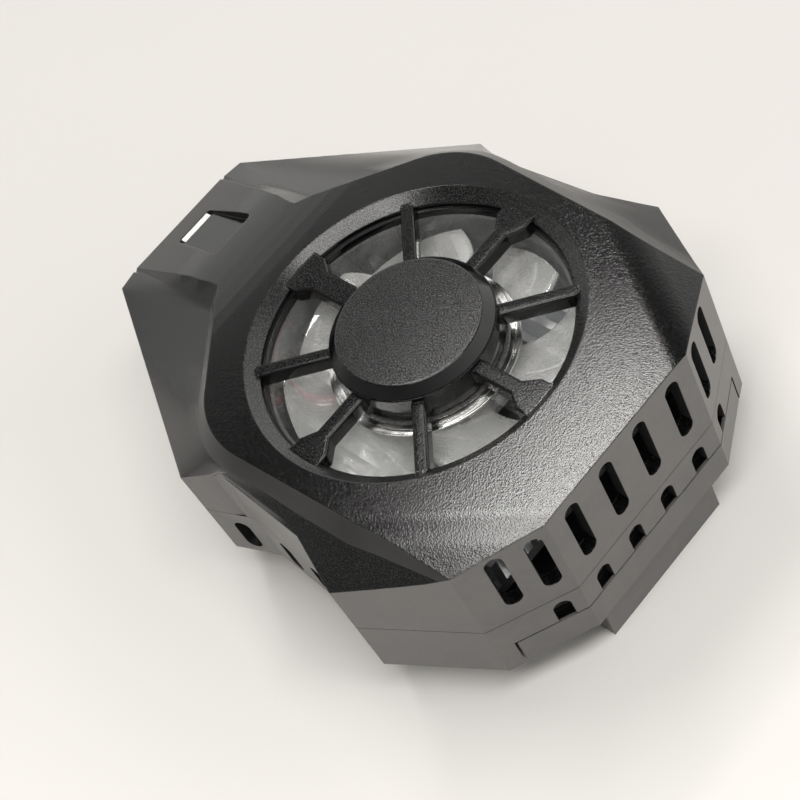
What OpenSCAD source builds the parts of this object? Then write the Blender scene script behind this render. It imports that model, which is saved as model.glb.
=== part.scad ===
// Clip-on cooling fan for a phone: a fan and a thermoelectric cooler in a two-part case.
// The phone lies against the pad under the case, between a fixed jaw and a sprung sliding clip.
// Origin: on the fan axis, at the face of the pad. +X towards the sliding clip, +Z away from the phone.

/* [Body outline] */
// Distance from the fan axis to the vent wall
vent_wall_x = 32.4; // [31:0.2:36]
// Width of the vent wall between its corners
vent_wall_w = 25.6; // [23:0.2:28]
// Distance from the fan axis to the front shoulder corners
shoulder_x = 26.6; // [25.6:0.2:28.4]
// Width across the front shoulder corners
shoulder_w = 46.8; // [45:0.2:50]
// Distance from the fan axis to the widest corners
widest_x = 12.4; // [11:0.2:15]
// Width across the widest corners
widest_w = 62.8; // [60:0.2:68]
// Distance from the fan axis to the front end of the waist
bend_x = 5; // [3:0.2:8]
// Width across the front end of the waist
bend_w = 56.8; // [56:0.2:60]
// Distance from the fan axis back to the rear end of the waist
waist_back = 10.4; // [8:0.2:13]
// Width across the rear end of the waist
waist_w = 54.8; // [54:0.2:58]
// Distance from the fan axis back to the wing tips
wing_back = 17.2; // [15:0.2:20]
// Width across the wing tips
wing_w = 59.8; // [58:0.2:64]
// Distance from the fan axis back to the tail face
tail_back = 50.4; // [48:0.2:56]
// Width of the tail face
tail_w = 17.6; // [15:0.2:20]
// Length of the small bevel beside the tail face
tail_bevel_l = 0.6; // [0.2:0.1:2]
// Width of that bevel, on each side
tail_bevel_w = 3.6; // [2.6:0.2:5]

/* [Body heights] */
// Height of the case, from its underside to the top plate
body_h = 23.8; // [23.4:0.2:27]
// Height of the lower case, up to the parting line
lower_h = 9.6; // [9.2:0.2:11]
// Thickness of the side walls
wall_t = 1.8; // [1.4:0.1:2.2]
// Thickness of the roof of the top cover
roof_t = 2; // [1.8:0.1:2.4]
// Thickness of the floor of the lower case
floor_t = 1.8; // [1.4:0.1:2.2]
// Drop of the top edge at the tail face, below the top plate
tail_drop = 7.9; // [6:0.1:8.4]
// Drop of the top edge at the wing tips
wing_drop = 6.5; // [5:0.1:8]
// Drop of the top edge at both ends of the waist
waist_drop = 3.5; // [2.6:0.1:4.4]
// Drop of the top edge at the widest corners
widest_drop = 5.5; // [4.5:0.1:7]
// Drop of the top edge at the front shoulder corners
shoulder_drop = 1.4; // [0.8:0.1:2]

/* [Raised top] */
// Width of the raised top beside the fan
island_w = 51; // [49:0.2:51.6]
// Width of the band that steps down round the raised top
band_w = 1.5; // [1:0.1:1.8]
// Height of that band
band_h = 1.5; // [1:0.1:1.9]
// Distance from the fan axis back to the middle of the bend from the top plate into the neck
neck_slope_back = 31.8; // [30:0.2:33]
// Distance from the fan axis back to the corners between the neck and the raised top
neck_back = 29; // [26:0.2:33]
// Width of the neck at those corners
neck_w = 15.2; // [13:0.2:19]
// Distance from the fan axis back to the rounded rear corners of the raised top
flare_back = 13.8; // [12:0.2:16]
// Radius of those corners
flare_r = 13; // [8:0.5:14]
// Radius of that bend
neck_bend_r = 42; // [25:1:44]
// Width of the neck's flanks at those corners
flank_w = 2.5; // [1.8:0.1:3]
// Height of the neck's flanks at those corners
flank_h = 1.8; // [1.2:0.1:2.2]

/* [Fan opening and grille] */
// Outer radius of the chamfer round the fan opening
ring_r = 22; // [21.6:0.1:23]
// Width of that chamfer
ring_chamfer_w = 1.7; // [1.2:0.1:2]
// Depth of that chamfer
ring_chamfer_h = 1.3; // [0.8:0.1:1.6]
// Radius of the grille's hub
grille_hub_r = 10.8; // [10:0.1:12]
// Height of the grille's hub
grille_hub_h = 4; // [3.2:0.1:4.2]
// Depth of the top of the spokes below the top plate
spoke_sink = 0.8; // [0.4:0.1:1.1]
// Height of the spokes
spoke_h = 2.3; // [1.6:0.1:2.4]
// Width of the straight diagonal spokes
spoke_w = 1.8; // [1.4:0.1:2.4]
// Width of the spokes with a flared end
flared_spoke_w = 2.1; // [1.6:0.1:2.8]
// Width of the broad spoke on the tail side
broad_spoke_w = 3.2; // [2.6:0.1:4]
// Extra width of a flared end at the rim
flare_w = 2.8; // [1.6:0.1:3.4]
// Height of the hub cap above the grille's hub
cap_h = 1.4; // [1:0.1:2]
// Width of the bevel round the hub cap
cap_bevel = 1.4; // [0.8:0.1:2]

/* [Vents] */
// Width of the vent slots
slot_w = 2.3; // [1.8:0.1:2.8]
// Height of the vent slots in the top cover
slot_h = 9.9; // [8:0.1:10.4]
// Depth of their upper end below the top plate
slot_sink = 1.5; // [1:0.1:2.2]
// Pitch of the slots in the vent wall
slot_pitch = 6.1; // [5.6:0.1:6.6]
// Distance of the first slot in the short walls from the vent wall's corner
side_slot_first = 2.2; // [1.8:0.1:3]
// Distance of the second slot in the short walls from that corner
side_slot_second = 7.1; // [6:0.1:8]
// Distance of the notch in the short walls of the lower case from that corner
side_notch = 2.8; // [2:0.1:4]
// Height of the notches in the lower case, above the clip
notch_h = 3.6; // [2.6:0.1:3.8]
// Height of the slots in the waist and the wings of the lower case
low_slot_h = 6; // [4:0.2:6.6]

/* [Light] */
// Distance of the light recess's outer edge from the tail face
recess_set_back = 4.6; // [3.8:0.2:6.4]
// Length of the light recess
recess_l = 12; // [8:0.2:13]
// Width of the light recess at its outer edge
recess_w = 6.2; // [5.8:0.2:7]
// Width of the light recess at its inner end
recess_end_w = 7.6; // [6:0.2:9]
// Depth of the light recess at its deep end
recess_depth = 1.4; // [0.9:0.1:1.6]
// Width of the light guide's lit edge
light_w = 5.2; // [4:0.2:5.4]
// Thickness of the light guide
light_t = 0.9; // [0.7:0.1:1.2]

/* [Fan] */
// Height of the fan's frame
fan_h = 8.6; // [8:0.1:9]
// Inner radius of the fan's frame
duct_r = 19.5; // [19:0.1:19.7]
// Wall of the fan's frame
duct_t = 1.2; // [0.9:0.1:1.6]
// Gap between the blade tips and the frame
tip_gap = 0.6; // [0.4:0.1:1]
// Number of blades
blade_count = 7; // [5:1:9]
// Thickness of the blades
blade_t = 0.9; // [0.6:0.1:1.2]
// Radius of the rotor's hub
rotor_hub_r = 11.4; // [9.2:0.1:12.4]
// Height of the rotor
rotor_h = 4.8; // [4.4:0.1:4.8]
// Radius of the motor shaft
shaft_r = 1; // [0.8:0.05:1.2]
// Running clearance of the shaft, on the radius
shaft_play = 0.04; // [0.02:0.01:0.08]

/* [Cooler stack] */
// Thickness of the pad that touches the phone
pad_t = 0.8; // [0.5:0.1:1.2]
// Width and length of the pad and the cold plate
plate_w = 32; // [30.6:0.2:33]
// Distance that the cold plate stands out of the case
plate_proud = 0.2; // [0:0.1:0.6]
// Thickness of the cold plate's flange
flange_t = 0.9; // [0.7:0.1:1.2]
// Width and length of the thermoelectric module
module_w = 30; // [26:0.5:30]
// Thickness of the thermoelectric module
module_t = 3.3; // [3.1:0.1:3.6]
// Length of the heat sink
sink_l = 46; // [44:0.5:48]
// Width of the heat sink
sink_w = 48; // [46:0.5:49]
// Thickness of the heat sink's base
sink_base_t = 1.6; // [1.2:0.1:2]
// Height of the fins
fin_h = 4.4; // [4:0.1:5]
// Thickness of the fins
fin_t = 1; // [0.7:0.1:1.3]
// Pitch of the fins
fin_pitch = 3; // [2.6:0.1:4]

/* [Clip] */
// Width of the sliding clip across its ends
clip_w = 42.2; // [41.6:0.2:42.6]
// Height of the clip's rim
clip_h = 4.4; // [4:0.1:4.6]
// Gap between the clip and the lower case
clip_gap = 0.3; // [0.2:0.05:0.5]
// Wall of the clip's rim
clip_t = 2; // [1.6:0.1:2.4]
// Distance that the jaws reach below the pad's face
jaw_reach = 6.8; // [5:0.2:10]
// Width of the jaws
jaw_w = 21.4; // [16:0.2:23]
// Thickness of the jaws
jaw_t = 3.5; // [2.6:0.1:4]
// Thickness of the jaws' pads
jaw_pad_t = 1.5; // [1:0.1:2]
// Distance of the clip's jaw from the vent wall
jaw_set_back = 1.9; // [1.4:0.1:2.4]
// Distance of the fixed jaw from the tail face
fixed_jaw_set_back = 2.8; // [2.2:0.1:5]
// Width of the clip's arms
arm_w = 2.8; // [2.2:0.1:3]
// Travel of the clip
clip_travel = 20; // [10:1:20]

/* [Board and socket] */
// Length of the main board
board_l = 22.6; // [20:0.2:23]
// Width of the main board
board_w = 19; // [17:0.2:19.4]
// Thickness of the main board
board_t = 1.2; // [0.8:0.1:1.6]
// Width of the power socket
socket_w = 8.9; // [8.9:0.1:9.2]
// Height of the power socket
socket_h = 3.2; // [3.1:0.1:3.4]
// Length of the power socket
socket_l = 7.3; // [6.5:0.1:8]
// Outer diameter of the wires
wire_d = 0.9; // [0.6:0.1:1]

/* [Screws] */
// Radius of the screw shanks
screw_r = 1; // [0.8:0.05:1.1]
// Radius of the screw heads
screw_head_r = 1.8; // [1.5:0.1:2]
// Height of the screw heads
screw_head_h = 1.2; // [1:0.1:1.4]

/* [Hidden] */
$fn = 96;

big = 200;
eps = 0.02;
fit_gap = 0.02;
seat_gap = 0.15;
hole_gap = 0.15;

// Levels, from the phone upwards
bottom_z = pad_t + plate_proud;
floor_z = bottom_z + floor_t;
parting_z = bottom_z + lower_h;
top_z = bottom_z + body_h;
flange_z = floor_z + flange_t;
sink_z = flange_z + module_t;
fin_z = sink_z + sink_base_t;
fan_z = fin_z + fin_h;
fan_top_z = fan_z + fan_h;

// Plan of the case: the corners of the +Y half, from the vent wall back to the tail
vent_corner = [vent_wall_x, vent_wall_w / 2];
shoulder = [shoulder_x, shoulder_w / 2];
widest = [widest_x, widest_w / 2];
bend = [bend_x, bend_w / 2];
waist = [-waist_back, waist_w / 2];
wing = [-wing_back, wing_w / 2];
tail_bevel = [-tail_back + tail_bevel_l, tail_w / 2 + tail_bevel_w];
tail = [-tail_back, tail_w / 2];
half_plan = [vent_corner, shoulder, widest, bend, waist, wing, tail_bevel, tail];

function reversed(list) = [for (i = [len(list) - 1 : -1 : 0]) list[i]];
function flipped(list) = [for (p = list) [p[0], -p[1]]];
function both_sides(half) = concat(half, reversed(flipped(half)));
function unit(v) = v / norm(v);
function left_of(v) = [-v[1], v[0]];
function cross2(a, b) = a[0] * b[1] - a[1] * b[0];
// Corner of an outline after both its edges move outwards by d (inwards where d is negative)
function moved_corner(a, p, b, d) =
    let (u = unit(p - a), v = unit(b - p), m = p - d * left_of(u), n = p - d * left_of(v))
    abs(cross2(u, v)) < 0.001 ? m : m + u * cross2(n - m, v) / cross2(u, v);
function moved(plan, d) =
    let (n = len(plan))
    [for (i = [0 : n - 1]) moved_corner(plan[(i + n - 1) % n], plan[i], plan[(i + 1) % n], d)];
// Points of a rounded corner at p, between the corners a and b
function rounded(a, p, b, r, steps = 10) =
    let (u = unit(a - p), v = unit(b - p), half = acos(u * v) / 2)
    let (m = p + unit(u + v) * r / sin(half), start = m - p - u * (u * (m - p)))
    let (sense = sign(cross2(u, v)), sweep = 180 - 2 * half)
    [for (i = [0 : steps]) let (t = -sense * sweep * i / steps)
        m - [start[0] * cos(t) - start[1] * sin(t), start[0] * sin(t) + start[1] * cos(t)]];

plan = both_sides(half_plan);

// Neck: it bends down out of the top plate towards the tail
neck_slope = atan(tail_drop / (tail_back - neck_slope_back));
neck_start = neck_slope_back - neck_bend_r * tan(neck_slope / 2);
function neck_line(x) = top_z - tan(neck_slope) * (-x - neck_slope_back);
function neck_top(x) =
    let (s = -x - neck_start)
    s <= 0 ? top_z
    : s < neck_bend_r * sin(neck_slope) ? top_z - neck_bend_r + sqrt(pow(neck_bend_r, 2) - s * s)
    : neck_line(x);

// Upper edge of the band on the +Y side, from beyond the shoulder back to the neck
flare = [-flare_back, island_w / 2];
neck = [-neck_back, neck_w / 2];
side_dir = unit(flare - shoulder);
function on_side(x) = shoulder + side_dir * (x - shoulder[0]) / side_dir[0];
over = 3;
flare_corner = rounded(shoulder, flare, neck, flare_r);
corner_steps = len(flare_corner) - 1;
flare_steps = 6;
flare_line = [for (i = [1 : flare_steps - 1])
    flare_corner[corner_steps] + (neck - flare_corner[corner_steps]) * i / flare_steps];
band_edge = concat(
    [for (x = [shoulder_x + over, widest_x, bend_x]) on_side(x)],
    flare_corner,
    flare_line
);
band_count = len(band_edge);
band_path = concat([2 * band_edge[0] - band_edge[1]], band_edge, [neck]);

// The deck falls from the foot of the band to the outer edge, both cut into the same number of points
function mix(a, b, t) = a + (b - a) * t;
function above(p, z) = [p[0], p[1], z];
function raised(p, drop) = above(p, top_z - drop);
wing_turn = 4;
wing_steps = corner_steps + flare_steps - wing_turn;
outer_waist = raised(waist, waist_drop);
outer_wing = raised(wing, wing_drop);
outer_tail = raised(tail_bevel, tail_drop);
tail_edge = raised(tail, tail_drop);
beyond_drop = shoulder_drop * (1 + over / (shoulder_x - widest_x));
neck_edge = above(neck, neck_top(-neck_back));
neck_foot = neck_edge + [0, flank_w, -flank_h];
foot_fall = top_z - band_h - neck_foot[2];

band_foot = [for (i = [0 : band_count - 1])
    let (p = moved_corner(band_path[i], band_path[i + 1], band_path[i + 2], band_w))
    let (along = max(0, i - band_count + flare_steps) / flare_steps)
    raised(p, band_h + (i == 0 ? beyond_drop : foot_fall * along))];
outer_edge = [for (i = [0 : band_count - 1])
    let (j = i - 3)
    i == 0 ? band_foot[0] + [1, 2, -2]
    : i == 1 ? raised(widest, widest_drop)
    : i == 2 ? raised(bend, waist_drop)
    : j < wing_turn ? mix(outer_waist, outer_wing, j / wing_turn)
    : mix(outer_wing, outer_tail, (j - wing_turn) / wing_steps)];

// Lines across the cover on the +Y side, each as [outer edge, foot of the band, upper edge of the band]
neck_steps = 5;
vent_end = vent_corner + [over, over];
tail_end = tail_edge - [over, 0, tail_drop / over];
cover_lines = concat(
    [[raised(vent_end, 2 * band_h), raised(vent_end, band_h), above(vent_end, top_z)]],
    [for (i = [0 : band_count - 1])
        [outer_edge[i], band_foot[i], raised(band_edge[i], i == 0 ? beyond_drop : 0)]],
    [for (i = [0 : neck_steps - 1])
        let (t = i / neck_steps, p = mix(neck, tail, t))
        let (edge = above(p, neck_top(p[0])))
        let (bulge = edge[2] - mix(neck_edge, tail_edge, t)[2])
        [mix(outer_tail, tail_edge, t), mix(neck_foot, tail_edge, t) + [0, 0, bulge / 2], edge]],
    [[tail_edge + [-1, 0.5, -1], tail_edge, tail_edge + [0, -0.1, 0.3]]],
    [[tail_end + [0, 1, -1], tail_end, tail_end + [0, -0.1, 0.3]]]
);

module prism(points, z0, z1) {
    translate([0, 0, z0])
        linear_extrude(z1 - z0)
            polygon(points);
}

// A block from corner to corner
module block(low, high) {
    translate(low)
        cube(high - low);
}

// A block and its mirror image across the XZ plane
module blocks_both_sides(low, high) {
    for (side = [0, 1])
        mirror([0, side, 0])
            block(low, high);
}

module rod(x, y, z0, z1, r) {
    translate([x, y, z0])
        cylinder(h = z1 - z0, r = r);
}

module rods(places, z0, z1, r) {
    for (p = places)
        rod(p[0], p[1], z0, z1, r);
}

module ring(z0, z1, inner, outer) {
    difference() {
        rod(0, 0, z0, z1, outer);
        rod(0, 0, z0 - eps, z1 + eps, inner);
    }
}

function four_corners(x, y) = [[x, y], [-x, y], [-x, -y], [x, -y]];

// Everything under a flat top that bends down by an angle at a distance out along a direction
module under_bend(direction, out, r, angle, steps = 8) {
    start = out - r * tan(angle / 2);
    arc = [for (i = [0 : steps]) [start + r * sin(angle * i / steps), -r * (1 - cos(angle * i / steps))]];
    last = arc[steps];
    end = last + big * [cos(angle), -sin(angle)];
    rotate([0, 0, direction])
        translate([0, big, top_z])
            rotate([90, 0, 0])
                linear_extrude(2 * big)
                    polygon(concat([[-big, 0]], arc, [end, [end[0], -big], [-big, -big]]));
}

// Solid under the decks, with the raised top standing above the top plate, to be trimmed all round
module cover_body() {
    lines = cover_lines;
    last = len(lines) - 1;
    trim = 1.5;
    deck_steps = 4;
    outer = [for (i = [0 : last])
        let (out = lines[i][0] - lines[i][1])
        i == 0 || i > last - 2 ? lines[i][0] : lines[i][0] + out * trim / norm(out)];
    rim = [for (line = lines) line[2] + 0.3 * (line[2] - line[1])];
    rows = [
        [for (p = outer) above(p, 0)],
        outer,
        for (t = [1 : deck_steps]) [for (i = [0 : last]) mix(outer[i], lines[i][1], t / deck_steps)],
        rim,
        [for (p = rim) above(p, top_z + 1)]
    ];
    half = last + 1;
    n = 2 * half;
    points = [for (row = rows)
        each concat(row, [for (p = reversed(row)) [p[0], -p[1], p[2]]])];
    sides = [for (r = [0 : len(rows) - 2], i = [0 : n - 1])
        let (a = r * n + i, b = r * n + (i + 1) % n, c = b + n, d = a + n)
        each i < half ? [[d, b, a], [d, c, b]] : [[c, b, a], [d, c, a]]];
    top = (len(rows) - 1) * n;
    polyhedron(
        points,
        concat([[for (i = [0 : n - 1]) i]], [[for (i = [n - 1 : -1 : 0]) top + i]], sides),
        convexity = 8
    );
}

// Line across each front shoulder from which the top plate falls away
crease_dir = left_of(unit(vent_corner - [widest_x, island_w / 2]));
crease_out = crease_dir * vent_corner;
shoulder_fall = atan(shoulder_drop / (crease_dir * shoulder - crease_out));
shoulder_bend_r = 20;

// Outer form of the top cover, with its walls moved in and its roof lowered
module cover_form(inset, sunk, low) {
    translate([0, 0, -sunk])
        intersection() {
            prism(moved(plan, -inset), low, top_z + 1);
            under_bend(180, neck_slope_back, neck_bend_r, neck_slope);
            shoulder_falls();
            cover_body();
        }
}

module shoulder_falls() {
    intersection() {
        under_bend(atan2(crease_dir[1], crease_dir[0]), crease_out, shoulder_bend_r, shoulder_fall);
        mirror([0, 1, 0])
            under_bend(atan2(crease_dir[1], crease_dir[0]), crease_out, shoulder_bend_r, shoulder_fall);
    }
}

// Fan opening, collar and grille
opening_r = ring_r - ring_chamfer_w;
opening_step = 0.4;
opening_step_z = fan_top_z + spoke_h / 2;
collar_t = 1.5;
grille_z = top_z - 0.1;
spoke_z1 = top_z - spoke_sink;
spoke_z0 = spoke_z1 - spoke_h;
spoke_root = grille_hub_r - 0.8;
spoke_tip = ring_r - spoke_sink * ring_chamfer_w / ring_chamfer_h;
flare_l = 3.4;
grille_hub_t = 1.6;
grille_skirt_t = 1.2;
cap_peg_r = 2;

module fan_opening() {
    rod(0, 0, fan_top_z - eps, top_z - roof_t / 2, opening_r - opening_step);
    rod(0, 0, opening_step_z, top_z + 1, opening_r);
    translate([0, 0, top_z - ring_chamfer_h])
        cylinder(h = ring_chamfer_h + eps, r1 = opening_r, r2 = ring_r + eps);
}

module straight_spoke(w) {
    block([spoke_root, -w / 2, spoke_z0], [spoke_tip - w / 2, w / 2, spoke_z1]);
    rod(spoke_tip - w / 2, 0, spoke_z0, spoke_z1, w / 2);
}

module flared_spoke(w) {
    bar = w / 2;
    wide = (w + flare_w) / 2;
    bar_end = opening_r - flare_l;
    half = [[spoke_tip, wide], [opening_r - flare_w / 2, wide], [bar_end, bar], [spoke_root, bar]];
    prism(both_sides(half), spoke_z0, spoke_z1);
}

module spokes() {
    for (turn = [45 : 90 : 315])
        rotate(turn)
            straight_spoke(spoke_w);
    for (turn = [0, 90, 270])
        rotate(turn)
            flared_spoke(flared_spoke_w);
    rotate(180)
        flared_spoke(broad_spoke_w);
}

// Ends of the spokes that stand on the chamfer, as part of the cover
module spoke_ends() {
    difference() {
        spokes();
        rod(0, 0, spoke_z0 - 1, spoke_z1 + 1, opening_r);
    }
}

module fan_grille() {
    color([0.14, 0.14, 0.14]) {
        intersection() {
            spokes();
            union() {
                rod(0, 0, spoke_z0 - 1, spoke_z1 + 1, opening_r - opening_step - fit_gap);
                rod(0, 0, opening_step_z + fit_gap, spoke_z1 + 1, opening_r - fit_gap);
            }
        }
        difference() {
            rod(0, 0, grille_z - grille_hub_h, grille_z, grille_hub_r);
            rod(0, 0, grille_z - grille_hub_h - eps, grille_z - grille_hub_t, grille_hub_r - grille_skirt_t);
            rod(0, 0, grille_z - grille_hub_h, grille_z + eps, cap_peg_r + fit_gap);
        }
    }
}

slot_z1 = top_z - slot_sink;

// Upright oblong cut through a wall, at a distance along the wall from the corner a to the corner b
module wall_slot(a, b, along, w, z0, z1) {
    dir = unit(b - a);
    at = a + along * dir;
    translate([at[0], at[1], 0])
        rotate(atan2(dir[1], dir[0]))
            translate([0, wall_t + 1, 0])
                rotate([90, 0, 0])
                    linear_extrude(wall_t + 2)
                        oblong(w, z0, z1);
}

module oblong(w, y0, y1) {
    translate([-w / 2, y0 + w / 2])
        square([w, y1 - y0 - w]);
    for (y = [y0 + w / 2, y1 - w / 2])
        translate([0, y])
            circle(w / 2);
}

module vent_wall_slots(z0, z1) {
    middle = vent_wall_w / 2;
    for (i = [-1.5 : 1.5])
        wall_slot(flipped([vent_corner])[0], vent_corner, middle + i * slot_pitch, slot_w, z0, z1);
}

module short_wall_slots(places, z0, z1) {
    for (side = [0, 1], along = places)
        mirror([0, side, 0])
            wall_slot(vent_corner, shoulder, along, slot_w, z0, z1);
}

// Light recess in the neck, and the slot for the light guide at its outer edge
recess_lip = 0.35;
recess_x = -tail_back + recess_set_back;
recess_end = recess_x + recess_l;
recess_low = neck_top(recess_x) - recess_lip;
recess_slope = atan((neck_top(recess_end) - recess_depth - recess_low) / recess_l);
recess_corner_r = 0.8;
recess_plan = [
    [0, -recess_w / 2], [recess_l, -recess_end_w / 2], [recess_l, recess_end_w / 2], [0, recess_w / 2]
];
light_x = recess_x + 0.1;
light_top = neck_top(light_x) - 0.05;

function rectangle(l, w) = [[0, -w / 2], [l, -w / 2], [l, w / 2], [0, w / 2]];
function rounded_plan(plan, r) =
    let (n = len(plan))
    [for (i = [0 : n - 1]) each rounded(plan[(i + n - 1) % n], plan[i], plan[(i + 1) % n], r, 4)];

module light_recess() {
    translate([recess_x, 0, recess_low])
        rotate([0, -recess_slope, 0])
            linear_extrude(tail_drop)
                polygon(rounded_plan(recess_plan, recess_corner_r));
    block(
        [light_x - fit_gap, -light_w / 2 - fit_gap, parting_z],
        [light_x + light_t + fit_gap, light_w / 2 + fit_gap, top_z]
    );
}

// Board and socket levels
board_z1 = parting_z + 0.4;
board_z0 = board_z1 - board_t;
board_x = -tail_back + wall_t + 0.3;
socket_x = -tail_back + 0.2;
socket_mid = board_z1 + socket_h / 2;
socket_gap = 0.2;
board_posts = [[-34, 7], [-34, -7]];
board_post_r = 2;
board_screw_bite = 3.5;

module socket_hole() {
    w = socket_w + 2 * socket_gap;
    h = socket_h + 2 * socket_gap;
    translate([-tail_back - 1, 0, socket_mid])
        rotate([90, 0, 90])
            linear_extrude(wall_t + 2)
                rotate(90)
                    oblong(h, -w / 2, w / 2);
    block([-tail_back - 1, -w / 2, parting_z - 1], [-tail_back + wall_t + 1, w / 2, socket_mid]);
}

// Case screws, driven from below into bosses of the top cover
boss_r = 2.9;
front_boss = widest - [1, boss_r + 1.3];
rear_boss = tail_bevel + [16.8, boss_r];
case_boss_places = both_sides([front_boss, rear_boss]);
screw_seat_z = floor_z + 0.6;
case_screw_bite = 5;

module top_cover() {
    color([0.16, 0.16, 0.16]) {
        difference() {
            union() {
                difference() {
                    cover_form(0, 0, parting_z);
                    cover_form(wall_t, roof_t, -big);
                }
                ring(fan_top_z, top_z - roof_t / 2, opening_r - opening_step - eps, opening_r + collar_t);
                intersection() {
                    rods(case_boss_places, parting_z, top_z, boss_r);
                    cover_form(wall_t / 2, roof_t / 2, parting_z);
                }
            }
            fan_opening();
            vent_wall_slots(slot_z1 - slot_h, slot_z1);
            short_wall_slots([side_slot_first, side_slot_second], slot_z1 - slot_h, slot_z1);
            light_recess();
            socket_hole();
            rods(case_boss_places, parting_z - eps, parting_z + case_screw_bite + 0.5, screw_r + fit_gap);
        }
        spoke_ends();
    }
}

module hub_cap() {
    color([0.1, 0.1, 0.1]) {
        translate([0, 0, grille_z])
            cylinder(h = cap_h, r1 = grille_hub_r, r2 = grille_hub_r - cap_bevel);
        rod(0, 0, grille_z - grille_hub_t, grille_z + eps, cap_peg_r);
    }
}

// Light guide: a bar through the cover, bent over the socket to the light on the board
guide_z0 = board_z1 + socket_h + 0.4;
guide_z1 = guide_z0 + light_t;
led_x = socket_x + socket_l + 0.7;
led_l = 1.4;
led_h = 0.9;

module light_guide() {
    color([0.95, 0.95, 0.92]) {
        half = light_w / 2;
        block([light_x, -half, guide_z0], [light_x + light_t, half, light_top]);
        block([light_x, -half, guide_z0], [led_x + led_l, half, guide_z1]);
        block(
            [led_x + led_l - light_t, -half / 2, board_z1 + led_h + 0.2],
            [led_x + led_l, half / 2, guide_z1]
        );
    }
}

// Clip levels and places
clip_z = bottom_z + 0.2;
clip_top_z = clip_z + clip_h;
clip_floor_t = 1.5;
clip_reach = 2.6;
clip_back = shoulder_x - clip_reach;
frame_wall = 1.85;
flange_w = module_w + 2 * (hole_gap + frame_wall);
arm_gap = 0.7;
arm_in = flange_w / 2 + arm_gap;
arm_out = arm_in + arm_w;
arm_margin = 0.6;
arm_z0 = floor_z + seat_gap;
arm_z1 = clip_top_z - 0.4;
arm_end = -6;
heel_l = clip_travel / 2 - 1;
rib_t = 1;
spring_y = (arm_in + arm_out) / 2;
spring_z = floor_z + 1.8;
spring_r = 1.5;
spring_wire = 0.5;
spring_pin_r = 0.8;
spring_tab_t = 0.7;
spring_post_x = -26;
spring_pin_x = arm_end - 1.6;
spring_eye_r = spring_pin_r + 0.1;
jaw_out = vent_wall_x - jaw_set_back;
fixed_jaw_out = -tail_back + fixed_jaw_set_back;
jaw_pad_inset = 1;
jaw_pad_z0 = -jaw_reach + 0.5;
jaw_pad_z1 = 0.4;
// Cold plate, module and clamp
clamp_land = 2.05;
plate_land = 1.2;
clamp_edge = 2.1;
clamp_x = max(module_w / 2 + hole_gap + clamp_land, plate_w / 2 + plate_land);
clamp_y = 10;
flange_l = 2 * (clamp_x + clamp_edge);
clamp_places = four_corners(clamp_x, clamp_y);

module lower_case() {
    color([0.18, 0.18, 0.18])
        difference() {
            union() {
                difference() {
                    prism(plan, bottom_z, parting_z);
                    prism(moved(plan, -wall_t), floor_z, parting_z + 1);
                }
                intersection() {
                    rods(case_boss_places, bottom_z, parting_z, boss_r);
                    prism(moved(plan, -wall_t / 2), bottom_z, parting_z);
                }
                rods(board_posts, floor_z - eps, board_z0, board_post_r);
                rods([[spring_post_x, spring_y], [spring_post_x, -spring_y]],
                    floor_z - eps, spring_z + spring_r, spring_pin_r);
                blocks_both_sides(
                    [arm_end - spring_r, arm_out + clip_gap, floor_z - eps],
                    [clip_back - clip_gap, arm_out + clip_gap + rib_t, clip_top_z]
                );
                block(
                    [fixed_jaw_out, -jaw_w / 2, -jaw_reach],
                    [fixed_jaw_out + jaw_t, jaw_w / 2, bottom_z + eps]
                );
            }
            clip_opening();
            cold_plate_window();
            vent_wall_slots(clip_top_z - slot_w, clip_top_z + clip_gap + notch_h);
            short_wall_slots([side_notch], clip_top_z - slot_w, clip_top_z + clip_gap + notch_h);
            low_slots();
            rods(case_boss_places, bottom_z - 1, screw_seat_z, screw_head_r + hole_gap);
            rods(case_boss_places, bottom_z, parting_z + 1, screw_r + hole_gap);
            rods(board_posts, board_z0 - board_screw_bite - 0.5, board_z0 + 1, screw_r + fit_gap);
        }
}

module clip_opening() {
    half = max(clip_w / 2, arm_out + arm_margin) + clip_gap;
    block([clip_back - clip_gap, -half, bottom_z - 1], [big, half, clip_top_z + clip_gap]);
}

module cold_plate_window() {
    half = plate_w / 2 + hole_gap;
    block([-half, -half, bottom_z - 1], [half, half, floor_z + eps]);
}

// Vents in the lower case: two in each waist wall and one in each wing
module low_slots() {
    z1 = parting_z - slot_w;
    z0 = z1 - low_slot_h;
    waist_l = norm(bend - waist);
    wing_l = norm(waist - wing);
    for (side = [0, 1])
        mirror([0, side, 0]) {
            wall_slot(bend, waist, waist_l * 0.3, slot_w, z0, z1);
            wall_slot(bend, waist, waist_l * 0.7, slot_w, z0, z1);
            wall_slot(waist, wing, wing_l * 0.45, slot_w, z0, z1);
        }
}

module jaw_pad(x) {
    half = jaw_w / 2 - jaw_pad_inset;
    color([0.08, 0.08, 0.08])
        block([x, -half, jaw_pad_z0], [x + jaw_pad_t, half, jaw_pad_z1]);
}

module fixed_jaw_pad() {
    jaw_pad(fixed_jaw_out + jaw_t);
}

module clip_jaw_pad() {
    jaw_pad(jaw_out - jaw_t - jaw_pad_t);
}

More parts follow.
